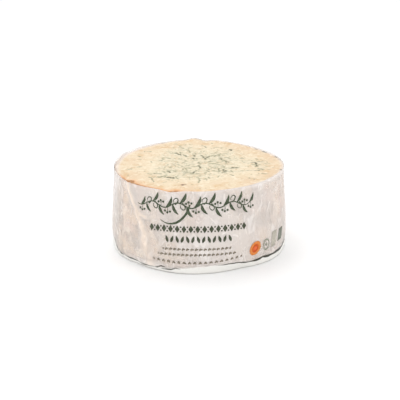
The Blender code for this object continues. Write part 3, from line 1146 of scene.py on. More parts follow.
@dataclass
class Film:
    """The clear sleeve: a thin closed shell from the cut rim down the side, round the base and in beneath.

    Levels of creases are in millimetres. A pucker is a hill round the base: its azimuth, its spread and its
    swell. A haze is given as its azimuth, spread and strength, then the height where it starts and the length
    over which it rises; with a length below 0 it falls.
    """

    shape: TruckleShape
    shift: Array
    thickness: float = 0.00016
    fine_columns: int = 340
    coarse_columns: int = 200
    fine_reach: float = 76.0
    wall_rows: int = 40
    low_rows: int = 26
    roll_rows: int = 15
    fold_rows: int = 6
    low_height: float = 0.018
    noise_radius: float = 0.10
    fold_heights: tuple = (0.008, 0.034, 0.052, 0.066, 0.078, 0.097)
    fold_azimuths: tuple = (-32.0, -35.9, -37.6, -42.2, -47.4, -52.0)
    fold_widths: tuple = (0.0048, 0.0040, 0.0032, 0.0028, 0.0024, 0.0024)
    fold_wander: tuple = ((0.6, 190.0, 0.0), (0.35, 460.0, 1.0))
    fold_depth: float = 0.0013
    branch_azimuths: tuple = (-45.0, -32.0)
    branch_heights: tuple = (0.0665, 0.0615)
    branch_depth: float = 0.0007
    branch_width: float = 0.0014
    crease_azimuths: tuple = (
        -140.0, -100.0, -80.0, -74.0, -70.0, -66.0, -60.0, -50.0, -43.0, -35.0, -28.0, -18.0, -10.0, 0.0,
        10.0, 19.0, 26.0, 32.0, 40.0, 45.0, 51.0, 60.0, 68.0, 75.0, 85.0, 100.0, 140.0, 180.0,
    )
    crease_heights: tuple = (
        8.0, 12.0, 15.0, 12.0, 8.0, 5.6, 5.0, 5.2, 4.6, 4.0, 4.4, 5.0, 6.5, 8.5, 9.6,
        10.2, 9.8, 8.0, 7.4, 8.8, 7.8, 7.2, 7.4, 9.6, 11.0, 9.0, 8.0, 9.0,
    )
    crease_strengths: tuple = (
        0.5, 0.6, 0.42, 0.46, 0.54, 0.66, 0.84, 0.86, 0.76, 0.74, 0.46, 0.15, 0.08, 0.12, 0.22,
        0.65, 0.95, 0.95, 1.15, 1.35, 1.4, 1.3, 1.2, 0.9, 0.6, 0.5, 0.6, 0.5,
    )
    crease_wave: float = 0.0004
    crease_wave_noise: tuple = (32, 0.0, 0.007)
    crease_patches: tuple = (0.85, 0.45)
    crease_patch_noise: tuple = (33, 0.02, 0.009)
    crease_width: float = 0.00085
    crease_depth: float = 0.0008
    lens_creases: tuple = (
        ((-30.0, -27.0, -24.0, -19.0), (3.8, 4.8, 6.8, 6.0), 0.82),
        ((-25.5, -20.0, -17.0, -14.0, -9.5), (3.4, 4.4, 4.6, 6.6, 5.2), 0.80),
        ((-42.0, -39.0, -36.0, -33.0), (3.0, 2.6, 2.8, 3.4), 0.62),
        ((96.0, 104.0, 112.0), (5.0, 4.2, 5.6), 0.6),
        ((150.0, 158.0, 166.0), (5.6, 4.2, 5.8), 0.7),
        ((-126.0, -118.0, -110.0), (4.6, 3.8, 5.2), 0.6),
    )
    puckers: tuple = (
        (-62.0, 7.0, 0.0008),
        (-31.0, 6.0, 0.0010),
        (-17.0, 8.0, 0.0012),
        (48.0, 9.0, 0.0007),
        (140.0, 8.0, 0.0010),
    )
    pucker_floor: float = 0.0035
    wrinkle_count: int = 150
    wrinkle_seed: int = 5
    wrinkle_middles: tuple = (0.010, 0.098)
    wrinkle_halves: tuple = (0.008, 0.034)
    wrinkle_slant: float = 0.20
    wrinkle_widths: tuple = (0.0009, 0.0026)
    wrinkle_lifts: tuple = (0.00008, 0.00034)
    calm_front: tuple = (42.0, 0.75)
    pleat_lift: float = 0.00042
    pleat_cell: float = 0.0055
    pleat_stretch: float = 0.30
    pleat_fade: tuple = (0.016, -0.012)
    gathers: int = 27
    gather_height: float = 0.0007
    seam_azimuth: float = 176.0
    seam_half_width: float = 5.5
    # Painted shade: half widths of the dark line along the crease, the dark contact line at the foot as its
    # height, width and strength, and the width of the dark lines along the short creases.
    shade_line_widths: tuple = (0.0003, 0.0014)
    contact_shade: tuple = (0.0010, 0.0008, 0.52)
    lens_shade_line: float = 0.0009
    roll_edge: tuple = (0.0010, 0.0014)
    roll_beneath: float = 0.46
    ridge: float = 1.15
    ridge_foot: float = 0.004
    ridge_rise: tuple = (0.008, 0.030)
    branch_ridge: float = 1.2
    shoulder_azimuth: float = -113.0
    hazes: tuple = ((62.0, 26.0, 1.2, 0.0955, 0.004), (-36.0, 15.0, 0.9, 0.0125, -0.006))
    front_haze: tuple = (8.0, 42.0, 0.48)
    side_hazes: tuple = (0.56, 0.24)
    side_starts: tuple = ((55.0, 16.0), (50.0, 34.0))
    side_end: tuple = (140.0, -30.0)
    shoulder_haze: tuple = (44.0, 0.076, 0.022)
    shoulder_clear: tuple = (42.0, 0.85, 0.0925, 0.005)
    seam_haze: float = 0.5
    seam_fade: float = 0.25
    rim_haze: tuple = (0.0012, 0.7)
    clear_rim: tuple = (-48.0, 12.0, 0.9)

    def azimuths(self) -> Array:
        """Azimuths of the columns, closer together on the front, where the print is.

        Returns:
            Degrees from the front, between -180 and 180, in order round the part.
        """
        front = np.linspace(-self.fine_reach, self.fine_reach, self.fine_columns, endpoint=False)
        back = np.linspace(self.fine_reach, 360.0 - self.fine_reach, self.coarse_columns, endpoint=False)
        return turned(np.concatenate([front, back]), 0.0)

    def noise_round(self, azimuth: Array, seed: int, level: float, cell: float) -> Array:
        """Noise on a ring round the base, in the shape of the azimuths."""
        ring = on_ring(azimuth, self.noise_radius, level)
        return SpaceNoise(seed).at(ring, cell).reshape(np.shape(azimuth))

    def fold_distance(self, azimuth: Array, height: Array) -> Array:
        """Distance round the wall from the long, slightly wavy fold that comes down the left of the front.

        Args:
            azimuth, height: degrees from the front and metres above the table.

        Returns:
            The distance in metres.
        """
        wander = sum(reach * np.sin(height * rate + start) for reach, rate, start in self.fold_wander)
        centre = np.interp(height, self.fold_heights, self.fold_azimuths) + wander
        return np.radians(turned(azimuth, centre)) * self.shape.widest_radius

    def fold_width(self, height: Array) -> Array:
        """Half width of the long fold at a height, as a table."""
        return np.interp(height, self.fold_heights, self.fold_widths)

    def branch_distance(self, azimuth: Array, height: Array) -> tuple[Array, Array]:
        """The short fold that leaves the long one to the right: it sinks along a straight line.

        Args:
            azimuth, height: degrees from the front and metres above the table.

        Returns:
            Height above the fold, and how present it is there, from 0 to 1.
        """
        (left, right), (start, end) = self.branch_azimuths, self.branch_heights
        share = (azimuth - left) / (right - left)
        return height - (start + (end - start) * share), ease(share * 8.0) * ease((1.0 - share) * 3.0)

    def crease_level(self, azimuth: Array) -> Array:
        """Height of the crease above the roll, as a table round the base with a little noise."""
        level = MILLIMETRE * round_table(azimuth, self.crease_azimuths, self.crease_heights)
        return level + self.crease_wave * self.noise_round(azimuth, *self.crease_wave_noise)

    def crease_strength(self, azimuth: Array) -> Array:
        """How deep and dark the crease is round the base, from 0 to 1: a table made patchy by noise."""
        least, more = self.crease_patches
        patchy = least + more * self.noise_round(azimuth, *self.crease_patch_noise)
        return np.clip(round_table(azimuth, self.crease_azimuths, self.crease_strengths) * patchy, 0.0, 1.0)

    def lens_cover(self, azimuth: Array, height: Array, width: float) -> Array:
        """Short creases that leave the long one: a bell curve across each line, thickest at its middle.

        Args:
            azimuth, height: degrees from the front and metres above the table.
            width: the bell curve's spread in metres.

        Returns:
            Strength from 0 to 1 at each place.
        """
        cover = np.zeros(np.broadcast(azimuth, height).shape)
        for stops, levels, strength in self.lens_creases:
            share = (azimuth - stops[0]) / (stops[-1] - stops[0])
            present = np.clip(4.0 * share * (1.0 - share), 0.0, 1.0)
            rise = height - MILLIMETRE * np.interp(azimuth, stops, levels)
            cover = np.maximum(cover, strength * np.sqrt(present) * bump(rise, width * (0.5 + 0.7 * present)))
        return cover

    def wrinkles(self, azimuth: Array, height: Array) -> Array:
        """Soft wrinkles: seeded ridges that run mostly up and down, lower where the print is.

        Each ridge is a bell curve across a straight line, faded out towards the line's ends.

        Args:
            azimuth, height: degrees from the front and metres above the table.

        Returns:
            How far they lift the film, in metres.
        """
        random = np.random.default_rng(self.wrinkle_seed)
        total = np.zeros(np.broadcast(azimuth, height).shape)
        reach, calm = self.calm_front
        for _ in range(self.wrinkle_count):
            centre = random.uniform(-180.0, 180.0)
            middle = random.uniform(*self.wrinkle_middles)
            half = random.uniform(*self.wrinkle_halves)
            slant = random.normal(0.0, self.wrinkle_slant)
            width = random.uniform(*self.wrinkle_widths)
            lift = random.uniform(*self.wrinkle_lifts) * (1.0 - calm * plateau(centre, reach))
            rise = height - middle
            across = np.radians(turned(azimuth, centre)) * self.shape.widest_radius - slant * rise
            total += lift * bump(across, width) * ease(1.2 - np.abs(rise) / half)
        return total

    def base_pleats(self, azimuth: Array, height: Array) -> Array:
        """Short upright pleats where the film turns under, as noise stretched up and down.

        Args:
            azimuth, height: degrees from the front and metres above the table.

        Returns:
            The lift in metres.
        """
        stretched = on_ring(azimuth, self.noise_radius, height * self.pleat_stretch)
        noise = SpaceNoise(35).layered(stretched, self.pleat_cell, 2)
        noise = noise.reshape(np.broadcast(azimuth, height).shape)
        return self.pleat_lift * noise * eased(height, *self.pleat_fade)

    def crease_groove(self, azimuth: Array, height: Array) -> Array:
        """Depth of the creases, deepest along their levels.

        Args:
            azimuth, height: degrees from the front and metres above the table.

        Returns:
            The depth in metres.
        """
        strength = self.crease_strength(azimuth)
        width = self.crease_width * (0.6 + 0.9 * strength)
        long_crease = strength * bump(height - self.crease_level(azimuth), width)
        short_creases = self.lens_cover(azimuth, height, self.crease_width)
        return self.crease_depth * np.maximum(long_crease, short_creases)

    def relief(self, azimuth: Array, height: Array) -> Array:
        """How far folds, wrinkles, creases and puckers lift the film off its plain profile.

        Args:
            azimuth, height: degrees from the front and metres above the table.

        Returns:
            The lift in metres: bell curves across the folds, less the grooves, plus the small wrinkles.
        """
        fold = bump(self.fold_distance(azimuth, height), self.fold_width(height))
        rise, present = self.branch_distance(azimuth, height)
        lift = self.fold_depth * fold * ease(height / self.shape.roll_height)
        lift += self.branch_depth * bump(rise, self.branch_width) * present
        lift -= self.crease_groove(azimuth, height)
        lift += hills(azimuth, self.puckers) * bump(height - self.pucker_floor, self.pucker_floor)
        calm_rim = 1.0 - 0.8 * self.shape.near_rim(height)
        return lift + (self.wrinkles(azimuth, height) + self.base_pleats(azimuth, height)) * calm_rim

    def outer(self, azimuth: Array, height: Array, lift: float | Array = 0.0) -> Array:
        """Points on the wall's outside above the roll.

        Args:
            azimuth: degrees from the front.
            height: metres above the table, before the rim's drop.
            lift: distance off the film.

        Returns:
            Rows of x, y and z, without the frame's shift.
        """
        radius = self.shape.wall_radius(height) + self.relief(azimuth, height) + lift
        radius = radius + self.shape.outline_wave(azimuth) + self.shape.base_spread(azimuth, height)
        lowered = height - self.shape.film_drop(azimuth) * self.shape.near_rim(height)
        return on_ring(azimuth, radius, lowered)

    def rows(self) -> tuple[Array, Array, Array]:
        """Plain form of the rows from the rim down, round the roll and in to the fold's inner edge.

        Returns:
            Radius and height of each row, and how far it is along the fold underneath, from 0 to 1.
        """
        wall = np.linspace(self.shape.height, self.low_height, self.wall_rows, endpoint=False)
        low = np.linspace(self.low_height, self.shape.roll_height, self.low_rows, endpoint=False)
        turn = np.linspace(0.0, math.pi / 2, self.roll_rows)
        inward = np.linspace(0.0, 1.0, self.fold_rows + 1)[1:]
        radius, height = self.shape.profile(np.concatenate([wall, low]), turn, inward)
        along = np.concatenate([np.zeros(self.wall_rows + self.low_rows + self.roll_rows), inward])
        return radius, height, along

    def surface(self, inset: float) -> Array:
        """The film's outer or inner face.

        Args:
            inset: how far inside the outer face it lies.

        Returns:
            Points row by row, without the frame's shift.
        """
        plain_radius, plain_height, along = (part[:, None] for part in self.rows())
        out, up = (part[:, None] for part in profile_normals(plain_radius[:, 0], plain_height[:, 0]))
        grids = np.broadcast_arrays(self.azimuths(), plain_radius, plain_height, along)
        azimuth, radius, height, along = grids
        beneath = along > 0.0
        lift = np.where(beneath, 0.0, self.relief(azimuth, height))
        wave = self.shape.outline_wave(azimuth) * np.clip(ease(height / self.shape.roll_height), 0.25, 1.0)
        spread = self.shape.base_spread(azimuth, height)
        bulge = np.where(beneath, (1.0 - along) * self.shape.base_bulge(azimuth), spread)
        radius = radius + np.maximum(out, 0.0) * lift + wave + bulge - inset * out
        lowered = height - self.shape.film_drop(azimuth) * self.shape.near_rim(height)
        sway = 0.9 * np.sin(np.radians(5 * azimuth))
        gather = 0.5 + 0.5 * np.cos(np.radians(self.gathers * azimuth) + sway)
        level = np.where(beneath, self.gather_height * gather**2 * along, np.maximum(lowered, 0.0))
        return on_ring(azimuth, radius, level - inset * up)

    def haze(self, azimuth: Array, height: Array) -> Array:
        """Where the film stands off or is stretched, and looks milky: a sum of soft areas.

        They are the shoulder at the upper left, the sides, the seam, the rim, and the named hazes. The film
        is clear again along the very top of the shoulder.

        Args:
            azimuth, height: degrees from the front and metres above the table.

        Returns:
            The haze at each place.
        """
        left = azimuth < 0.0
        left_start, right_start = self.side_starts
        start = np.where(left, eased(-azimuth, *left_start), eased(azimuth, *right_start))
        haze = np.where(left, *self.side_hazes) * start * eased(np.abs(azimuth), *self.side_end)
        off_shoulder = turned(azimuth, self.shoulder_azimuth)
        spread, level, length = self.shoulder_haze
        haze += plateau(off_shoulder, spread) * eased(height, level, length)
        off_seam = np.abs(turned(azimuth, self.seam_azimuth))
        haze += self.seam_haze * eased(off_seam, self.seam_half_width, -self.seam_fade)
        reach, strength = self.rim_haze
        rim = eased(height, self.shape.height - reach, reach) * (1.0 - hills(azimuth, (self.clear_rim,)))
        haze += strength * rim + hills(azimuth, (self.front_haze,))
        for *hill, level, length in self.hazes:
            haze += hills(azimuth, (hill,)) * eased(height, level, length)
        spread, strength, level, length = self.shoulder_clear
        return haze * (1.0 - strength * plateau(off_shoulder, spread) * eased(height, level, length))

    def look_values(self) -> dict[str, Array]:
        """What the material reads on each point of one face.

        Returns:
            Painted shade along the creases and at the foot, white roll, pale ridges and milky haze, each row
            by row.
        """
        _, plain_height, along = self.rows()
        azimuth, height, along = np.broadcast_arrays(self.azimuths(), plain_height[:, None], along[:, None])
        level, strength = self.crease_level(azimuth), self.crease_strength(azimuth)
        # Painted shade: dark lines along the crease, at the foot where the film meets the table, and along
        # the short creases.
        least, more = self.shade_line_widths
        line = np.clip(1.7 * strength, 0.0, 1.0) * bump(height - level, least + more * strength**2)
        contact_shade_height, contact_shade_width, contact_shade_strength = self.contact_shade
        contact_shade = contact_shade_strength * bump(height - contact_shade_height, contact_shade_width)
        dark = np.maximum(np.maximum(line, contact_shade), self.lens_cover(azimuth, height, self.lens_shade_line))
        ridge = self.ridge * bump(self.fold_distance(azimuth, height), 1.45 * self.fold_width(height))
        ridge = ridge * (height > self.ridge_foot) * (0.55 + 0.45 * eased(height, *self.ridge_rise))
        rise, present = self.branch_distance(azimuth, height)
        ridge = np.maximum(ridge, self.branch_ridge * present * bump(rise, 1.5 * self.branch_width))
        above, length = self.roll_edge
        values = {
            "crease_shade": dark * (along <= 0.0),
            "roll": np.where(along > 0.0, self.roll_beneath, eased(height, level + above, -length)),
            "ridge": ridge,
            "haze": self.haze(azimuth, height),
        }
        return {name: numbers.ravel() for name, numbers in values.items()}

    def build(self, material: Material) -> Object:
        """Closes the outer and inner faces into one thin shell.

        Args:
            material: the clear film.

        Returns:
            The piece.
        """
        outer, inner = self.surface(0.0), self.surface(self.thickness)
        ring = np.arange(len(outer)).reshape(-1, self.fine_columns + self.coarse_columns)
        inside = ring + len(outer)
        faces = []
        for row in range(len(ring) - 1):
            faces.append(band_triangles(ring[row], ring[row + 1]))
            faces.append(band_triangles(inside[row], inside[row + 1])[:, ::-1])
        faces += [band_triangles(inside[0], ring[0]), band_triangles(ring[-1], inside[-1])]
        obj = new_mesh("film_sleeve", np.concatenate([outer, inner]) + self.shift, np.concatenate(faces))
        set_values(obj, **{name: np.tile(numbers, 2) for name, numbers in self.look_values().items()})
        finish_piece(obj, Slot.FILM, material, Node.WRAP)
        return obj


@dataclass
class Print:
    """The printer of plain shapes on the film's front.

    Every shape is a thin sheet laid on the film: a grid of two parameters, mapped to azimuth and height.
    Places and sizes are metres, across as the distance round the film from the front, and up as the height.
    """

    film: Film
    shift: Array
    lift: float = 0.00010
    thickness: float = 0.00004
    leaf_steps: int = 22
    leaf_tip: float = 0.00004
    points: list = field(default_factory=list)
    faces: list = field(default_factory=list)

    def sheet(self, across: Array, up: Array) -> None:
        """Adds a grid of points, with its faces turned outward.

        Args:
            across: distance of each point round the film.
            up: height of each point.
        """
        azimuth = np.degrees(across / self.film.shape.widest_radius)
        quads = grid_quads(*across.shape) + sum(len(part) for part in self.points)
        self.points.append(self.film.outer(azimuth.ravel(), up.ravel(), self.lift))
        self.faces.append(quads if self.facing(across, up) > 0 else quads[:, ::-1])

    @staticmethod
    def facing(across: Array, up: Array) -> float:
        """The grid's signed area, above 0 where its quads turn anticlockwise as seen from outside.

        Args:
            across, up: the grid's places round the film and its heights.

        Returns:
            The signed area.
        """
        right_x, right_y = across[:-1, 1:] - across[:-1, :-1], up[:-1, 1:] - up[:-1, :-1]
        down_x, down_y = across[1:, :-1] - across[:-1, :-1], up[1:, :-1] - up[:-1, :-1]
        return float((right_x * down_y - right_y * down_x).sum())

    def ribbon(self, path_x: Array, path_y: Array, half_width: float | Array) -> None:
        """Adds a stroke along a path: the path moved along its normal, by up to half_width to each side.

        Args:
            path_x: places of the path round the film.
            path_y: heights of the path.
            half_width: half the stroke's width, or that at each of its points.
        """
        along_x, along_y = np.gradient(path_x), np.gradient(path_y)
        length = np.maximum(np.hypot(along_x, along_y), 1e-9)
        side = np.linspace(-1.0, 1.0, 4)[:, None] * half_width
        self.sheet(path_x - side * along_y / length, path_y + side * along_x / length)

    def leaf(self, x: float, y: float, heading: float, length: float, width: float, bend: float) -> None:
        """Adds a pointed leaf: its half width swells as sin(pi t) to a power along its length.

        Args:
            x: the foot's place round the film.
            y: the foot's height.
            heading: the way it points in degrees, from the right and anticlockwise.
            length: from foot to tip.
            width: at its broadest.
            bend: how far it bows to its left, in shares of its length.
        """
        t = np.linspace(0.0, 1.0, self.leaf_steps)
        half = 0.5 * width * np.sin(math.pi * t**0.85) ** 0.9 + self.leaf_tip
        bow = bend * length * np.sin(math.pi * t)
        cosine, sine = math.cos(math.radians(heading)), math.sin(math.radians(heading))
        self.ribbon(x + cosine * length * t - sine * bow, y + sine * length * t + cosine * bow, half)

    def disc(
        self, x: float, y: float, radius: float, hole: float = 0.0, tall: float = 1.0, lean: float = 0.0
    ) -> None:
        """Adds a round dot, or a ring where it has a hole, as a grid of turn and radius.

        Args:
            x: its middle's place round the film.
            y: its middle's height.
            radius: of its outer edge.
            hole: radius of the hole.
            tall: its height over its width.
            lean: how far it leans to the right, in shares of its height.
        """
        turn = np.linspace(0.0, 2 * math.pi, 33)[None, :]
        far = np.linspace(max(hole, 0.02 * radius), radius, 4)[:, None]
        rise = far * np.sin(turn) * tall
        self.sheet(x + far * np.cos(turn) + lean * rise, y + rise)

    def lozenge(self, x: float, y: float, half_x: float, half_y: float) -> None:
        """A lozenge standing on its point, as a grid of two slanting parameters."""
        a, b = np.meshgrid(np.linspace(-1, 1, 6), np.linspace(-1, 1, 6), indexing="ij")
        self.sheet(x + half_x * (a + b) / 2, y + half_y * (b - a) / 2)

    def bar(self, x: float, y: float, half_x: float, half_y: float, slant: float = 0.0) -> None:
        """An upright or lying bar, leaning to the right by its slant."""
        a, b = np.meshgrid(np.linspace(-1, 1, 10), np.linspace(-1, 1, 5), indexing="ij")
        self.sheet(x + half_x * a + slant * half_y * b, y + half_y * b)

    def build(self, name: str, material: Material) -> Object:
        """Makes one piece of all that was added since the last, and gives it a hair's thickness.

        Args:
            name: the piece's name.
            material: its ink.

        Returns:
            The piece.
        """
        obj = new_mesh(name, np.concatenate(self.points) + self.shift, np.concatenate(self.faces))
        wall = obj.modifiers.new("thickness", "SOLIDIFY")
        wall.thickness = self.thickness
        wall.offset = 1.0
        finish_piece(obj, Slot.FILM, material)
        self.points.clear()
        self.faces.clear()
        return obj


def curve(start: tuple, first: tuple, second: tuple, end: tuple, count: int = 40) -> tuple[Array, Array]:
    """A smooth curve from start to end, pulled towards two points: a cubic of four weights.

    Args:
        start: where it begins.
        first: the point that it sets out towards.
        second: the point that it arrives from.
        end: where it stops.
        count: how many points it has.

    Returns:
        The points' two coordinates.
    """
    t = np.linspace(0.0, 1.0, count)[:, None]
    weights = np.concatenate([(1 - t) ** 3, 3 * t * (1 - t) ** 2, 3 * t**2 * (1 - t), t**3], axis=1)
    path = weights @ np.array([start, first, second, end])
    return path[:, 0], path[:, 1]


@dataclass(frozen=True)
class Row:
    """A row of small motifs: its reach round the film, its height in the middle, its count, and its bow."""

    start: float
    end: float
    level: float
    count: int
    bow: float = -0.0012
    lean: float = 0.0008
    bow_reach: float = 0.060

    def places(self) -> tuple[Array, Array]:
        """Distance round the film and height of each motif: a parabola with a slight lean."""
        x = np.linspace(self.start, self.end, self.count)
        return x, self.level + self.bow * (x / self.bow_reach) ** 2 + self.lean * x / self.bow_reach


@dataclass
class Ornament:
    """Where the print's motifs stand on the front of the film, and the inks that they are printed in."""

    printer: Print
    stem: Row = Row(-0.0790, 0.0700, 0.0830, 200)
    stem_wave: float = 0.0030
    stem_length: float = 0.0330
    leaves: Row = Row(-0.0740, 0.0640, 0.0830, 17)
    upper_leaf: tuple = (0.0162, 0.0040, 62.0)
    lower_leaf: tuple = (0.0142, 0.0036, -58.0)
    leaf_bend: float = -0.13
    tail: tuple = ((-0.010, 0.084), (-0.015, 0.066), (-0.030, 0.054), (-0.046, 0.0635))
    berry_places: tuple = ((0.0, 0.0058), (0.0034, 0.0046), (-0.0030, 0.0040))
    berry_radius: float = 0.00135
    stalk: tuple = ((0.0, 0.0), (0.0010, 0.0018), (0.0, 0.0036), (0.0, 0.0050))
    stalk_half: float = 0.00030
    curl_radius: float = 0.0046
    curl_level: float = 0.0042
    lozenges: Row = Row(-0.0575, 0.0560, 0.0550, 15)
    lozenge_half: tuple = (0.0029, 0.0045)
    dot_rise: float = 0.0026
    dot_radius: float = 0.0010
    grains: Row = Row(-0.0375, 0.0375, 0.0430, 13)
    grain_size: tuple = (0.0087, 0.0033)
    small_rows: tuple = (Row(-0.0420, 0.0370, 0.0308, 32), Row(-0.0480, 0.0440, 0.0241, 37))
    small_leaf: tuple = (66.0, 0.0039, 0.0021, 0.0)
    small_dot: float = 0.00098
    base_row: Row = Row(-0.0530, 0.0510, 0.0143, 34, 0.0030, 0.0018, 0.052)
    base_leaf: tuple = (0.0038, 0.0017, 0.0)
    seal: tuple = (0.0721, 0.0236)
    seal_lean: float = 0.22
    seal_rings: tuple = (
        ("seal_edge", "bronze", 0.0085, 0.0079),
        ("seal_orange", "orange", 0.0079, 0.0051),
        ("seal_red", "red", 0.0050, 0.0023),
        ("seal_middle", "coral", 0.0022, 0.0),
    )
    slab: tuple = (0.1236, 0.0270, 0.0058, 0.0072, 0.34)
    ring: tuple = (0.0908, 0.0234)
    ring_radii: tuple = (0.0060, 0.0043)
    ring_dot: float = 0.0018
    ring_tall: float = 1.22
    field: tuple = (0.1066, 0.0262, 0.0052, 0.0096, 0.16)

    def sprig(self) -> None:
        """A waving stem along the top of the front, with leaves, curls, berries and a tail."""
        x, y = self.stem.places()
        wave = 2 * math.pi / self.stem_length
        y = y + self.stem_wave * np.sin(wave * x)
        self.printer.ribbon(x, y, 0.00034 + 0.00040 * np.sin(np.linspace(0.3, math.pi - 0.2, len(x))))
        for number, (at, level) in enumerate(zip(*self.leaves.places())):
            level += self.stem_wave * math.sin(wave * at)
            above = number % 2 == 0
            length, width, heading = self.upper_leaf if above else self.lower_leaf
            grown = 1.0 - 0.20 * abs(2 * number / (self.leaves.count - 1) - 1.0) ** 2
            self.printer.leaf(at, level, heading, length * grown, width * grown, self.leaf_bend)
            side = -1.0 if above else 1.0
            if number % 4 in (1, 2):
                self.curl(at + 0.0030, level, side)
            else:
                self.berries(at + 0.0020, level, side)
        tail_x, tail_y = curve(*self.tail)
        self.printer.ribbon(tail_x, tail_y, 0.00038 + 0.00102 * np.sin(np.linspace(0.5, math.pi, 40)) ** 1.5)

    def berries(self, x: float, y: float, side: float) -> None:
        """Three berries on one short stalk, above the stem where side is 1 and below it where it is -1.

        Args:
            x, y: where it leaves the stem, round the film and up.
            side: 1 above the stem and -1 below it.
        """
        for across, up in self.berry_places:
            self.printer.disc(x + across, y + side * up, self.berry_radius)
        stalk = (np.array((x, y)) + (across, side * up) for across, up in self.stalk)
        self.printer.ribbon(*curve(*stalk, count=12), self.stalk_half)

    def curl(self, x: float, y: float, side: float) -> None:
        """A small tendril: a spiral whose radius shrinks with its turn, on either side as the berries.

        Args:
            x, y: where it leaves the stem, round the film and up.
            side: 1 above the stem and -1 below it.
        """
        t = np.linspace(0.0, 1.0, 44)
        turn = 5.4 * t - 1.2
        radius = self.curl_radius * (1.0 - 0.55 * t)
        across = x + 0.85 * radius * np.cos(turn) + 0.35 * radius * np.sin(turn)
        up = y + side * (self.curl_level + radius * np.sin(turn))
        self.printer.ribbon(across, up, 0.00075 - 0.00045 * t)

    def rows(self) -> None:
        """A row of lozenges with dots between them, and a shorter row of leaning grains."""
        x, y = self.lozenges.places()
        for at, level in zip(x, y):
            self.printer.lozenge(at, level, *self.lozenge_half)
        for at, level in zip(x[:-1] + 0.5 * (x[1] - x[0]), y):
            self.printer.disc(at, level + self.dot_rise, self.dot_radius)
            self.printer.disc(at, level - self.dot_rise, self.dot_radius)
        length, width = self.grain_size
        for number, (at, level) in enumerate(zip(*self.grains.places())):
            heading = 72.0 if number % 2 else 108.0
            foot = at - 0.5 * length * math.cos(math.radians(heading))
            self.printer.leaf(foot, level - 0.5 * length, heading, length, width, 0.0)

    def small_grains(self) -> None:
        """Even rows of small grains and dots in a browner ink, the lowest row bent up at its ends."""
        for row in self.small_rows:
            for number, (at, level) in enumerate(zip(*row.places())):
                if number % 2:
                    self.printer.leaf(at, level - 0.0018, *self.small_leaf)
                else:
                    self.printer.disc(at, level, self.small_dot)
        for number, (at, level) in enumerate(zip(*self.base_row.places())):
            self.printer.leaf(at, level - 0.0020, 60.0 if number % 2 else 120.0, *self.base_leaf)

    def build(self, inks: dict[str, Material]) -> None:
        """Prints every motif, each ink as a piece of its own.

        Args:
            inks: materials by name: green, dark, brown, bronze, orange, red, coral, slate, moss and grey.
        """
        self.sprig()
        self.printer.build("print_sprig", inks["green"])
        self.rows()
        self.printer.build("print_rows", inks["dark"])
        self.small_grains()
        self.printer.build("print_grains", inks["brown"])
        for name, ink, radius, hole in self.seal_rings:
            self.printer.disc(*self.seal, radius, hole, lean=self.seal_lean)
            self.printer.build(name, inks[ink])
        self.printer.bar(*self.slab)
        self.printer.build("print_slate", inks["slate"])
        self.printer.disc(*self.ring, *self.ring_radii, self.ring_tall)
        self.printer.disc(*self.ring, self.ring_dot, tall=self.ring_tall)
        self.printer.build("print_ring", inks["moss"])
        self.printer.bar(*self.field)
        self.printer.build("print_grey", inks["grey"])


@dataclass(frozen=True)
class Layer:
    """A colour that lies over another in patches, with the mottle's settings and its own strength."""

    colour: Colour
    scale: float
    detail: float
    low: float
    high: float
    strength: float = 1.0


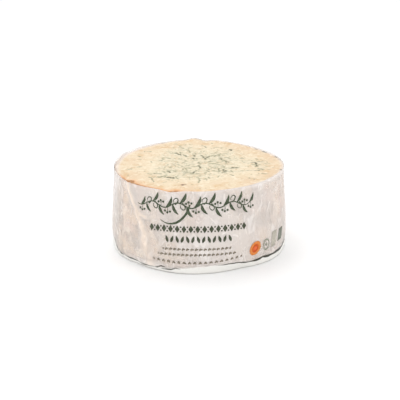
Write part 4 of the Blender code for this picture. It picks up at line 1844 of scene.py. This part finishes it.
class Nodes:
    """A shader node tree, with short ways to add nodes and join them."""

    def __init__(self, tree: Tree) -> None:
        """Starts on an existing tree."""
        self.tree = tree

    def add(self, kind: str, settings: dict | None = None, **inputs: object) -> bpy.types.Node:
        """Adds a node.

        Args:
            kind: the node's type name.
            settings: its properties.
            inputs: sockets by name, with spaces as underscores, each a socket to join or a value.

        Returns:
            The node.
        """
        node = self.tree.nodes.new(kind)
        for name, value in (settings or {}).items():
            setattr(node, name, value)
        for name, value in inputs.items():
            self.set(node, name.replace("_", " "), value)
        return node

    def set(self, node: bpy.types.Node, name: str | int, value: object) -> None:
        """Joins a socket to a node's input, or sets the input's own value.

        Args:
            node: the node.
            name: the input's name or number.
            value: a socket to join, or the value.
        """
        socket = node.inputs[name]
        if isinstance(value, Socket):
            self.tree.links.new(value, socket)
        elif isinstance(value, tuple) and len(value) == 3 and socket.type == "RGBA":
            socket.default_value = (*value, 1.0)
        else:
            socket.default_value = value

    def math(self, operation: str, first: object, second: object = 0.0) -> Socket:
        """One sum of two numbers or sockets.

        Args:
            operation: what to do.
            first, second: numbers or sockets.

        Returns:
            The result.
        """
        node = self.add("ShaderNodeMath", {"operation": operation})
        self.set(node, 0, first)
        self.set(node, 1, second)
        return node.outputs[0]

    def times(self, first: object, second: object) -> Socket:
        """The product of two numbers or sockets."""
        return self.math("MULTIPLY", first, second)

    def plus(self, first: object, second: object) -> Socket:
        """The sum of two numbers or sockets."""
        return self.math("ADD", first, second)

    def blend(self, share: object, first: object, second: object) -> Socket:
        """A colour between two colours.

        Args:
            share: how much there is of the second.
            first, second: colours or sockets.

        Returns:
            The mixed colour.
        """
        node = self.add("ShaderNodeMix", {"data_type": "RGBA"})
        self.set(node, 0, share)
        self.set(node, 6, first)
        self.set(node, 7, second)
        return node.outputs[2]

    def remap(
        self, value: object, low: object, high: object, to_low: float = 0.0, to_high: float = 1.0
    ) -> Socket:
        """A value moved smoothly from one range to another.

        Args:
            value: the socket to move.
            low: the value that becomes to_low.
            high: the value that becomes to_high.
            to_low: the new range's start.
            to_high: the new range's end.

        Returns:
            The moved value.
        """
        node = self.add("ShaderNodeMapRange", {"interpolation_type": "SMOOTHSTEP"})
        for number, given in enumerate((value, low, high, to_low, to_high)):
            self.set(node, number, given)
        return node.outputs[0]

    def value(self, name: str) -> Socket:
        """A number stored on the mesh's points."""
        return self.add("ShaderNodeAttribute", {"attribute_name": name}).outputs["Fac"]

    def place(self) -> Socket:
        """Where a point lies on the object."""
        return self.add("ShaderNodeTexCoord").outputs["Object"]

    def noise(self, **inputs: object) -> Socket:
        """A noise texture's value."""
        return self.add("ShaderNodeTexNoise", **inputs).outputs["Fac"]

    def bumps(self, height: object, strength: float, distance: float) -> Socket:
        """A normal tilted by a height."""
        node = self.add("ShaderNodeBump", Strength=strength, Distance=distance, Height=height)
        return node.outputs["Normal"]

    def group(self, group: Tree, output: str, **inputs: object) -> Socket:
        """Places a node group and gives one of its outputs.

        Args:
            group: the node group.
            output: the output's name.
            inputs: its inputs by name, with spaces as underscores.

        Returns:
            The output.
        """
        node = self.tree.nodes.new("ShaderNodeGroup")
        node.node_tree = group
        for name, value in inputs.items():
            self.set(node, name.replace("_", " "), value)
        return node.outputs[output]

    def cover(self, mottle: Tree, layer: Layer, colour: object, more: object = 1.0) -> Socket:
        """Lays a layer over a colour.

        Args:
            mottle: the shared group of patchy masks.
            layer: the colour to lay over it, and in what patches.
            colour: what lies below.
            more: a factor on the layer's strength.

        Returns:
            The mixed colour.
        """
        edges = {"Low": layer.low, "High": layer.high}
        mask = self.group(mottle, "Mask", Scale=layer.scale, Detail=layer.detail, **edges)
        return self.blend(self.times(self.times(mask, layer.strength), more), colour, layer.colour)


def new_material(name: str) -> tuple[Material, Nodes, bpy.types.Node]:
    """A new material, its nodes and its shader.

    Args:
        name: the material's name.

    Returns:
        The material, its nodes and its shader.
    """
    material = bpy.data.materials.new(name)
    material.use_nodes = True
    return material, Nodes(material.node_tree), material.node_tree.nodes["Principled BSDF"]


def new_group(name: str, output: str, defaults: dict[str, float]) -> tuple[Nodes, dict, Socket]:
    """Starts a node group that puts out one number, and stretches places up and down by its input Stretch.

    Args:
        name: the group's name.
        output: the output's name.
        defaults: its inputs, each with its default.

    Returns:
        The group's nodes, the inputs' sockets by name, and the stretched place.
    """
    tree = bpy.data.node_groups.new(name, "ShaderNodeTree")
    for title, default in defaults.items():
        socket = tree.interface.new_socket(title, in_out="INPUT", socket_type="NodeSocketFloat")
        socket.default_value = default
    tree.interface.new_socket(output, in_out="OUTPUT", socket_type="NodeSocketFloat")
    nodes = Nodes(tree)
    given = tree.nodes.new("NodeGroupInput").outputs
    stretch = nodes.add("ShaderNodeCombineXYZ", X=1.0, Y=1.0, Z=given["Stretch"]).outputs[0]
    stretched = nodes.add("ShaderNodeVectorMath", {"operation": "MULTIPLY"})
    nodes.set(stretched, 0, nodes.place())
    nodes.set(stretched, 1, stretch)
    return nodes, given, stretched.outputs[0]


def mottle_group() -> Tree:
    """A group that puts out a patchy mask: noise at one size, sharpened between a low and a high edge.

    Returns:
        The group.
    """
    defaults = {"Scale": 60.0, "Detail": 4.0, "Stretch": 1.0, "Low": 0.4, "High": 0.6}
    nodes, given, place = new_group("mottle", "Mask", defaults)
    noise = nodes.noise(Vector=place, Scale=given["Scale"], Detail=given["Detail"])
    out = nodes.tree.nodes.new("NodeGroupOutput")
    nodes.set(out, "Mask", nodes.remap(noise, given["Low"], given["High"]))
    return nodes.tree


def wrinkle_group() -> Tree:
    """A group that puts out thin crinkled lines: where a noise passes its middle value, within a width.

    A second noise breaks the lines into pieces.

    Returns:
        The group.
    """
    nodes, given, place = new_group("wrinkle", "Lines", {"Scale": 60.0, "Stretch": 1.0, "Width": 0.04})
    noise = nodes.noise(Vector=place, Scale=given["Scale"], Detail=2.0, Distortion=1.2)
    off_middle = nodes.math("ABSOLUTE", nodes.math("SUBTRACT", noise, 0.5))
    share = nodes.math("DIVIDE", off_middle, given["Width"])
    broken = nodes.noise(Vector=nodes.place(), Scale=85.0, Detail=1.0)
    out = nodes.tree.nodes.new("NodeGroupOutput")
    lines = nodes.times(nodes.remap(share, 0.0, 1.0, 1.0, 0.0), nodes.remap(broken, 0.42, 0.62))
    nodes.set(out, "Lines", lines)
    return nodes.tree


@dataclass(frozen=True)
class CheeseFinish:
    """Moist crumbly paste with blue mould, and a dry mottled rind round it."""

    cream: Colour = linear(227, 210, 180)
    crumb: Layer = Layer(linear(234, 221, 195), 130.0, 5.0, 0.42, 0.62, 0.55)
    green_cream: Colour = linear(216, 210, 186)
    pores: Layer = Layer(linear(206, 180, 144), 330.0, 4.0, 0.46, 0.70, 0.42)
    peach: Colour = linear(219, 192, 159)
    ochre: Layer = Layer(linear(214, 182, 138), 88.0, 3.0, 0.52, 0.66)
    crack: Colour = linear(196, 164, 122)
    flecks: Layer = Layer(linear(240, 226, 202), 160.0, 2.0, 0.55, 0.66, 0.55)
    mould_soft: Colour = linear(166, 160, 130)
    mould_dark: Colour = linear(84, 82, 62)
    pit: Colour = linear(112, 72, 50)
    rind_beige: Colour = linear(226, 206, 184)
    rind_layers: tuple = (
        Layer(linear(219, 195, 182), 34.0, 4.0, 0.40, 0.62),
        Layer(linear(182, 170, 158), 46.0, 6.0, 0.47, 0.62, 0.80),
        Layer(linear(244, 232, 216), 70.0, 6.0, 0.49, 0.64, 0.80),
        Layer(linear(134, 110, 90), 170.0, 5.0, 0.60, 0.72, 0.55),
    )
    # Pale bloom, partly painted light in the shaded gap behind the film.
    bloom_and_painted_light: Colour = linear(230, 218, 206)
    amber: Colour = linear(222, 142, 52)
    stain: Colour = linear(160, 98, 26)
    mark: Colour = linear(76, 80, 68)
    paste_roughness: float = 0.55
    rind_roughness: float = 0.82
    specular: float = 0.35
    halo_strength: float = 0.95
    crack_strength: float = 0.55
    bloom_and_painted_light_strength: float = 0.9

    def build(self, mottle: Tree, wrinkle: Tree) -> Material:
        """Makes the material: paste and rind by the share of rind, then pale bloom with painted light in the
        shaded gap, stain and marks over both.

        Args:
            mottle, wrinkle: the shared groups of patchy masks and of crinkled lines.

        Returns:
            The material.
        """
        material, nodes, shader = new_material("cheese_finish")
        rind_share, stain = nodes.value("rind"), nodes.value("stain")
        colour = nodes.blend(rind_share, self.paste(nodes, mottle, wrinkle), self.rind(nodes, mottle))
        # Pale bloom over paste and rind, partly painted light that lifts the shaded gap behind the film.
        colour = nodes.blend(nodes.times(nodes.value("bloom_and_painted_light"), self.bloom_and_painted_light_strength), colour, self.bloom_and_painted_light)
        uneven = nodes.group(mottle, "Mask", Scale=210.0, Detail=4.0, Low=0.30, High=0.62)
        uneven = nodes.plus(nodes.times(uneven, 0.30), 0.70)
        tone = nodes.blend(nodes.remap(stain, 0.45, 1.0), self.amber, self.stain)
        colour = nodes.blend(nodes.times(stain, uneven), colour, tone)
        nodes.set(shader, "Base Color", nodes.blend(nodes.value("mark"), colour, self.mark))
        rough = nodes.remap(rind_share, 0.0, 1.0, self.paste_roughness, self.rind_roughness)
        nodes.set(shader, "Roughness", rough)
        nodes.set(shader, "Specular IOR Level", self.specular)
        grain = nodes.noise(Vector=nodes.place(), Scale=900.0, Detail=3.0)
        nodes.set(shader, "Normal", nodes.bumps(grain, 0.28, 0.0004))
        return material

    def paste(self, nodes: Nodes, mottle: Tree, wrinkle: Tree) -> Socket:
        """Cream paste, greener in its veined middle and peach towards the rim, with mould in its cracks.

        Args:
            nodes: the material's nodes.
            mottle, wrinkle: the shared groups of patchy masks and of crinkled lines.

        Returns:
            The paste's colour.
        """
        colour = nodes.cover(mottle, self.crumb, self.cream)
        colour = nodes.blend(nodes.times(nodes.value("halo"), self.halo_strength), colour, self.green_cream)
        colour = nodes.cover(mottle, self.pores, colour)
        patchy = nodes.group(mottle, "Mask", Scale=38.0, Detail=3.0, Low=0.34, High=0.66)
        warmth = nodes.value("warmth")
        warm = nodes.times(warmth, nodes.plus(nodes.times(patchy, 0.8), 0.2))
        colour = nodes.blend(warm, colour, self.peach)
        colour = nodes.cover(mottle, self.ochre, colour, nodes.remap(warmth, 0.0, 1.0, 0.12, 0.72))
        cracks = nodes.group(wrinkle, "Lines", Scale=75.0, Width=0.045)
        colour = nodes.blend(nodes.times(cracks, self.crack_strength), colour, self.crack)
        colour = nodes.cover(mottle, self.flecks, colour)
        ragged = nodes.noise(Vector=nodes.place(), Scale=700.0)
        jitter = nodes.times(nodes.math("SUBTRACT", ragged, 0.5), 0.5)
        mould = nodes.value("mould")
        mould = nodes.plus(mould, nodes.times(jitter, mould))
        colour = nodes.blend(nodes.remap(mould, 0.05, 0.42, 0.0, 0.85), colour, self.mould_soft)
        colour = nodes.blend(nodes.remap(mould, 0.34, 0.80, 0.0, 0.95), colour, self.mould_dark)
        return nodes.blend(nodes.remap(nodes.value("pit"), 0.2, 0.8), colour, self.pit)

    def rind(self, nodes: Nodes, mottle: Tree) -> Socket:
        """Dry rind: beige with patches of pink and grey, white bloom and a few dark spots over it in turn.

        Args:
            nodes: the material's nodes.
            mottle: the shared group of patchy masks.

        Returns:
            The rind's colour.
        """
        colour = self.rind_beige
        for layer in self.rind_layers:
            colour = nodes.cover(mottle, layer, colour)
        return colour


@dataclass(frozen=True)
class FilmFinish:
    """Clear film: glossy and a little milky, whiter where it stands off or folds, with painted shade in its
    creases and at its foot.
    """

    tint: Colour = linear(245, 238, 233)
    roll_tint: Colour = linear(238, 236, 231)
    ridge_tint: Colour = linear(245, 229, 214)
    # Painted shade of the creases and the foot.
    crease_shade_tint: Colour = linear(50, 50, 34)
    clear_alpha: float = 0.16
    milky_alpha: float = 0.34
    line_alpha: float = 0.24
    value_alphas: tuple = (("haze", 0.42), ("ridge", 0.52), ("roll", 0.66))
    crease_shade_alpha: float = 0.95
    greatest_alpha: float = 0.97
    roughness: float = 0.30
    ior: float = 1.48

    def build(self, mottle: Tree, wrinkle: Tree) -> Material:
        """Makes the material: its alpha sums cling, crinkles, haze, ridges and roll, and is full where crease
        shade is painted, in a dark tint.

        Args:
            mottle, wrinkle: the shared groups of patchy masks and of crinkled lines.

        Returns:
            The material.
        """
        material, nodes, shader = new_material("film_finish")
        cling = nodes.group(mottle, "Mask", Scale=26.0, Detail=5.0, Stretch=0.55, Low=0.38, High=0.62)
        alpha = nodes.remap(cling, 0.0, 1.0, self.clear_alpha, self.milky_alpha)
        streaks = nodes.group(wrinkle, "Lines", Scale=30.0, Stretch=0.55, Width=0.060)
        fine = nodes.group(wrinkle, "Lines", Scale=90.0, Stretch=0.70, Width=0.045)
        lines = nodes.math("MAXIMUM", streaks, nodes.times(fine, 0.45))
        alpha = nodes.plus(alpha, nodes.times(lines, self.line_alpha))
        for name, strength in self.value_alphas:
            alpha = nodes.plus(alpha, nodes.times(nodes.value(name), strength))
        # Painted shade: a dark, nearly opaque tint along the creases and at the foot.
        dark = nodes.remap(nodes.value("crease_shade"), 0.25, 0.75)
        alpha = nodes.math("MAXIMUM", alpha, nodes.times(dark, self.crease_shade_alpha))
        colour = nodes.blend(nodes.value("ridge"), self.tint, self.ridge_tint)
        colour = nodes.blend(nodes.value("roll"), colour, self.roll_tint)
        nodes.set(shader, "Base Color", nodes.blend(dark, colour, self.crease_shade_tint))
        nodes.set(shader, "Alpha", nodes.math("MINIMUM", alpha, self.greatest_alpha))
        nodes.set(shader, "Roughness", self.roughness)
        nodes.set(shader, "IOR", self.ior)
        crinkle = nodes.group(mottle, "Mask", Scale=240.0, Detail=4.0, Stretch=0.35, Low=0.2, High=0.8)
        nodes.set(shader, "Normal", nodes.bumps(crinkle, 0.22, 0.0006))
        return material


@dataclass(frozen=True)
class InkFinish:
    """Printing ink: one colour that thins a little in patches, under the film's gloss."""

    name: str
    colour: Colour
    thin: Colour
    roughness: float = 0.42
    gloss: float = 0.12

    def build(self, mottle: Tree) -> Material:
        """Makes the material from the shared group of patchy masks, with little gloss.

        Args:
            mottle: the shared group of patchy masks.

        Returns:
            The material.
        """
        material, nodes, shader = new_material(f"ink_{self.name}")
        worn = nodes.group(mottle, "Mask", Scale=420.0, Detail=3.0, Low=0.40, High=0.75)
        nodes.set(shader, "Base Color", nodes.blend(worn, self.colour, self.thin))
        nodes.set(shader, "Roughness", self.roughness)
        nodes.set(shader, "Specular IOR Level", self.gloss)
        return material


INKS = (
    InkFinish("green", linear(70, 80, 62), linear(94, 104, 84)),
    InkFinish("dark", linear(68, 74, 58), linear(92, 96, 80)),
    InkFinish("brown", linear(122, 114, 100), linear(152, 142, 128)),
    InkFinish("bronze", linear(196, 134, 84), linear(206, 150, 104)),
    InkFinish("orange", linear(222, 130, 62), linear(224, 146, 84)),
    InkFinish("red", linear(202, 88, 34), linear(210, 104, 50)),
    InkFinish("coral", linear(234, 110, 66), linear(236, 122, 80)),
    InkFinish("grey", linear(180, 174, 161), linear(200, 194, 182)),
    InkFinish("moss", linear(142, 144, 128), linear(168, 168, 152)),
    InkFinish("slate", linear(112, 116, 104), linear(138, 140, 128)),
)


@dataclass
class Studio:
    """A white floor, soft even light and the camera at the photograph's angle.

    A lamp is given as its name, its place, its size and its power.
    """

    shape: TruckleShape
    axis: Array
    distance_in_radii: float = 12.0
    elevation: float = 19.34
    pitch_correction: float = -0.125
    focal_pixels: float = 1003.0
    picture_pixels: float = 400.0
    centre_pixel: float = 198.4
    height_in_radii: float = 0.981
    sensor: float = 36.0
    far_clip: float = 100.0
    floor_half: float = 20.0
    floor_lines: int = 21
    floor_grey: float = 0.93
    floor_roughness: float = 0.9
    floor_specular: float = 0.1
    world_light: float = 1.02
    lamps: tuple = (
        ("key", (-0.3, 0.7, 1.8), 1.5, 9.0),
        ("fill_left", (-1.5, -0.9, 0.9), 1.2, 2.5),
        ("fill_right", (1.5, -0.9, 0.9), 1.2, 2.5),
    )

    def floor(self) -> None:
        """A wide level floor, as a grid of two parameters."""
        line = np.linspace(-self.floor_half, self.floor_half, self.floor_lines)
        x, y = np.meshgrid(line, line, indexing="ij")
        points = np.stack([x.ravel(), y.ravel(), 0 * x.ravel()], axis=1)
        obj = new_mesh("floor", points, grid_quads(*x.shape)[:, ::-1])
        material, nodes, shader = new_material("floor_white")
        nodes.set(shader, "Base Color", (self.floor_grey,) * 3)
        nodes.set(shader, "Roughness", self.floor_roughness)
        nodes.set(shader, "Specular IOR Level", self.floor_specular)
        obj.data.materials.append(material)

    def light(self, name: str, place: tuple, size: float, power: float) -> None:
        """A square soft light that looks at the middle of the part.

        Args:
            name: the lamp's name.
            place: where it stands.
            size: the length of its side.
            power: its power in watts.
        """
        lamp = bpy.data.lights.new(name, "AREA")
        lamp.size = size
        lamp.energy = power
        obj = bpy.data.objects.new(name, lamp)
        obj.location = place
        away = obj.location - bpy.data.objects[f"body:{BODY}"].location
        obj.rotation_euler = away.to_track_quat("Z", "Y").to_euler()
        bpy.context.scene.collection.objects.link(obj)

    def lights(self) -> None:
        """A white surround, a large key above the camera and two fills at the sides."""
        world = bpy.data.worlds.new("white_surround")
        world.use_nodes = True
        surround = world.node_tree.nodes["Background"]
        surround.inputs["Color"].default_value = (1.0, 1.0, 1.0, 1.0)
        surround.inputs["Strength"].default_value = self.world_light
        bpy.context.scene.world = world
        for lamp in self.lamps:
            self.light(*lamp)

    def camera(self) -> None:
        """The camera of the photograph, from its distance, elevation and focal length."""
        distance = self.distance_in_radii * self.shape.rim_radius
        elevation = math.radians(self.elevation)
        middle = self.height_in_radii * self.shape.rim_radius / 2
        data = bpy.data.cameras.new("camera")
        data.sensor_width = self.sensor
        data.lens = self.focal_pixels / self.picture_pixels * self.sensor
        data.shift_x = (self.picture_pixels / 2 - self.centre_pixel) / self.picture_pixels
        data.clip_end = self.far_clip
        obj = bpy.data.objects.new("camera", data)
        back, up = distance * math.cos(elevation), distance * math.sin(elevation)
        obj.location = (self.axis[0], self.axis[1] - back, up + middle)
        obj.rotation_euler = (math.radians(90.0 - self.elevation - self.pitch_correction), 0.0, 0.0)
        bpy.context.scene.collection.objects.link(obj)
        bpy.context.scene.camera = obj

    def build(self) -> None:
        """Sets the stage and shows light as it is, so that white stays white."""
        self.floor()
        self.lights()
        self.camera()
        bpy.context.scene.view_settings.view_transform = "Standard"


def frame_shift(film: Film) -> Array:
    """How far the truckle's axis lies from the frame's origin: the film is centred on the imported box.

    Args:
        film: the sleeve, not shifted yet.

    Returns:
        The shift in x, y and z.
    """
    points = film.surface(0.0)
    low, high = (np.array(corner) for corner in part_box(Node.WRAP.value))
    middle = 0.5 * (points.min(axis=0) + points.max(axis=0))
    shift = 0.5 * (low + high) - middle
    shift[2] = 0.0
    return shift


def main() -> None:
    """Builds the cheese, its film, the print and the studio, in that order."""
    logging.basicConfig(level=logging.INFO, format="%(name)s: %(message)s")
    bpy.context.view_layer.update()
    shape = TruckleShape()
    mottle = mottle_group()
    film = Film(shape, np.zeros(3))
    film.shift = frame_shift(film)
    wrinkle = wrinkle_group()
    Cheese(shape, film.shift, VeinMap()).build(CheeseFinish().build(mottle, wrinkle))
    film.build(FilmFinish().build(mottle, wrinkle))
    inks = {ink.name: ink.build(mottle) for ink in INKS}
    Ornament(Print(film, film.shift)).build(inks)
    Studio(shape, film.shift).build()


if __name__ == "__main__":
    main()
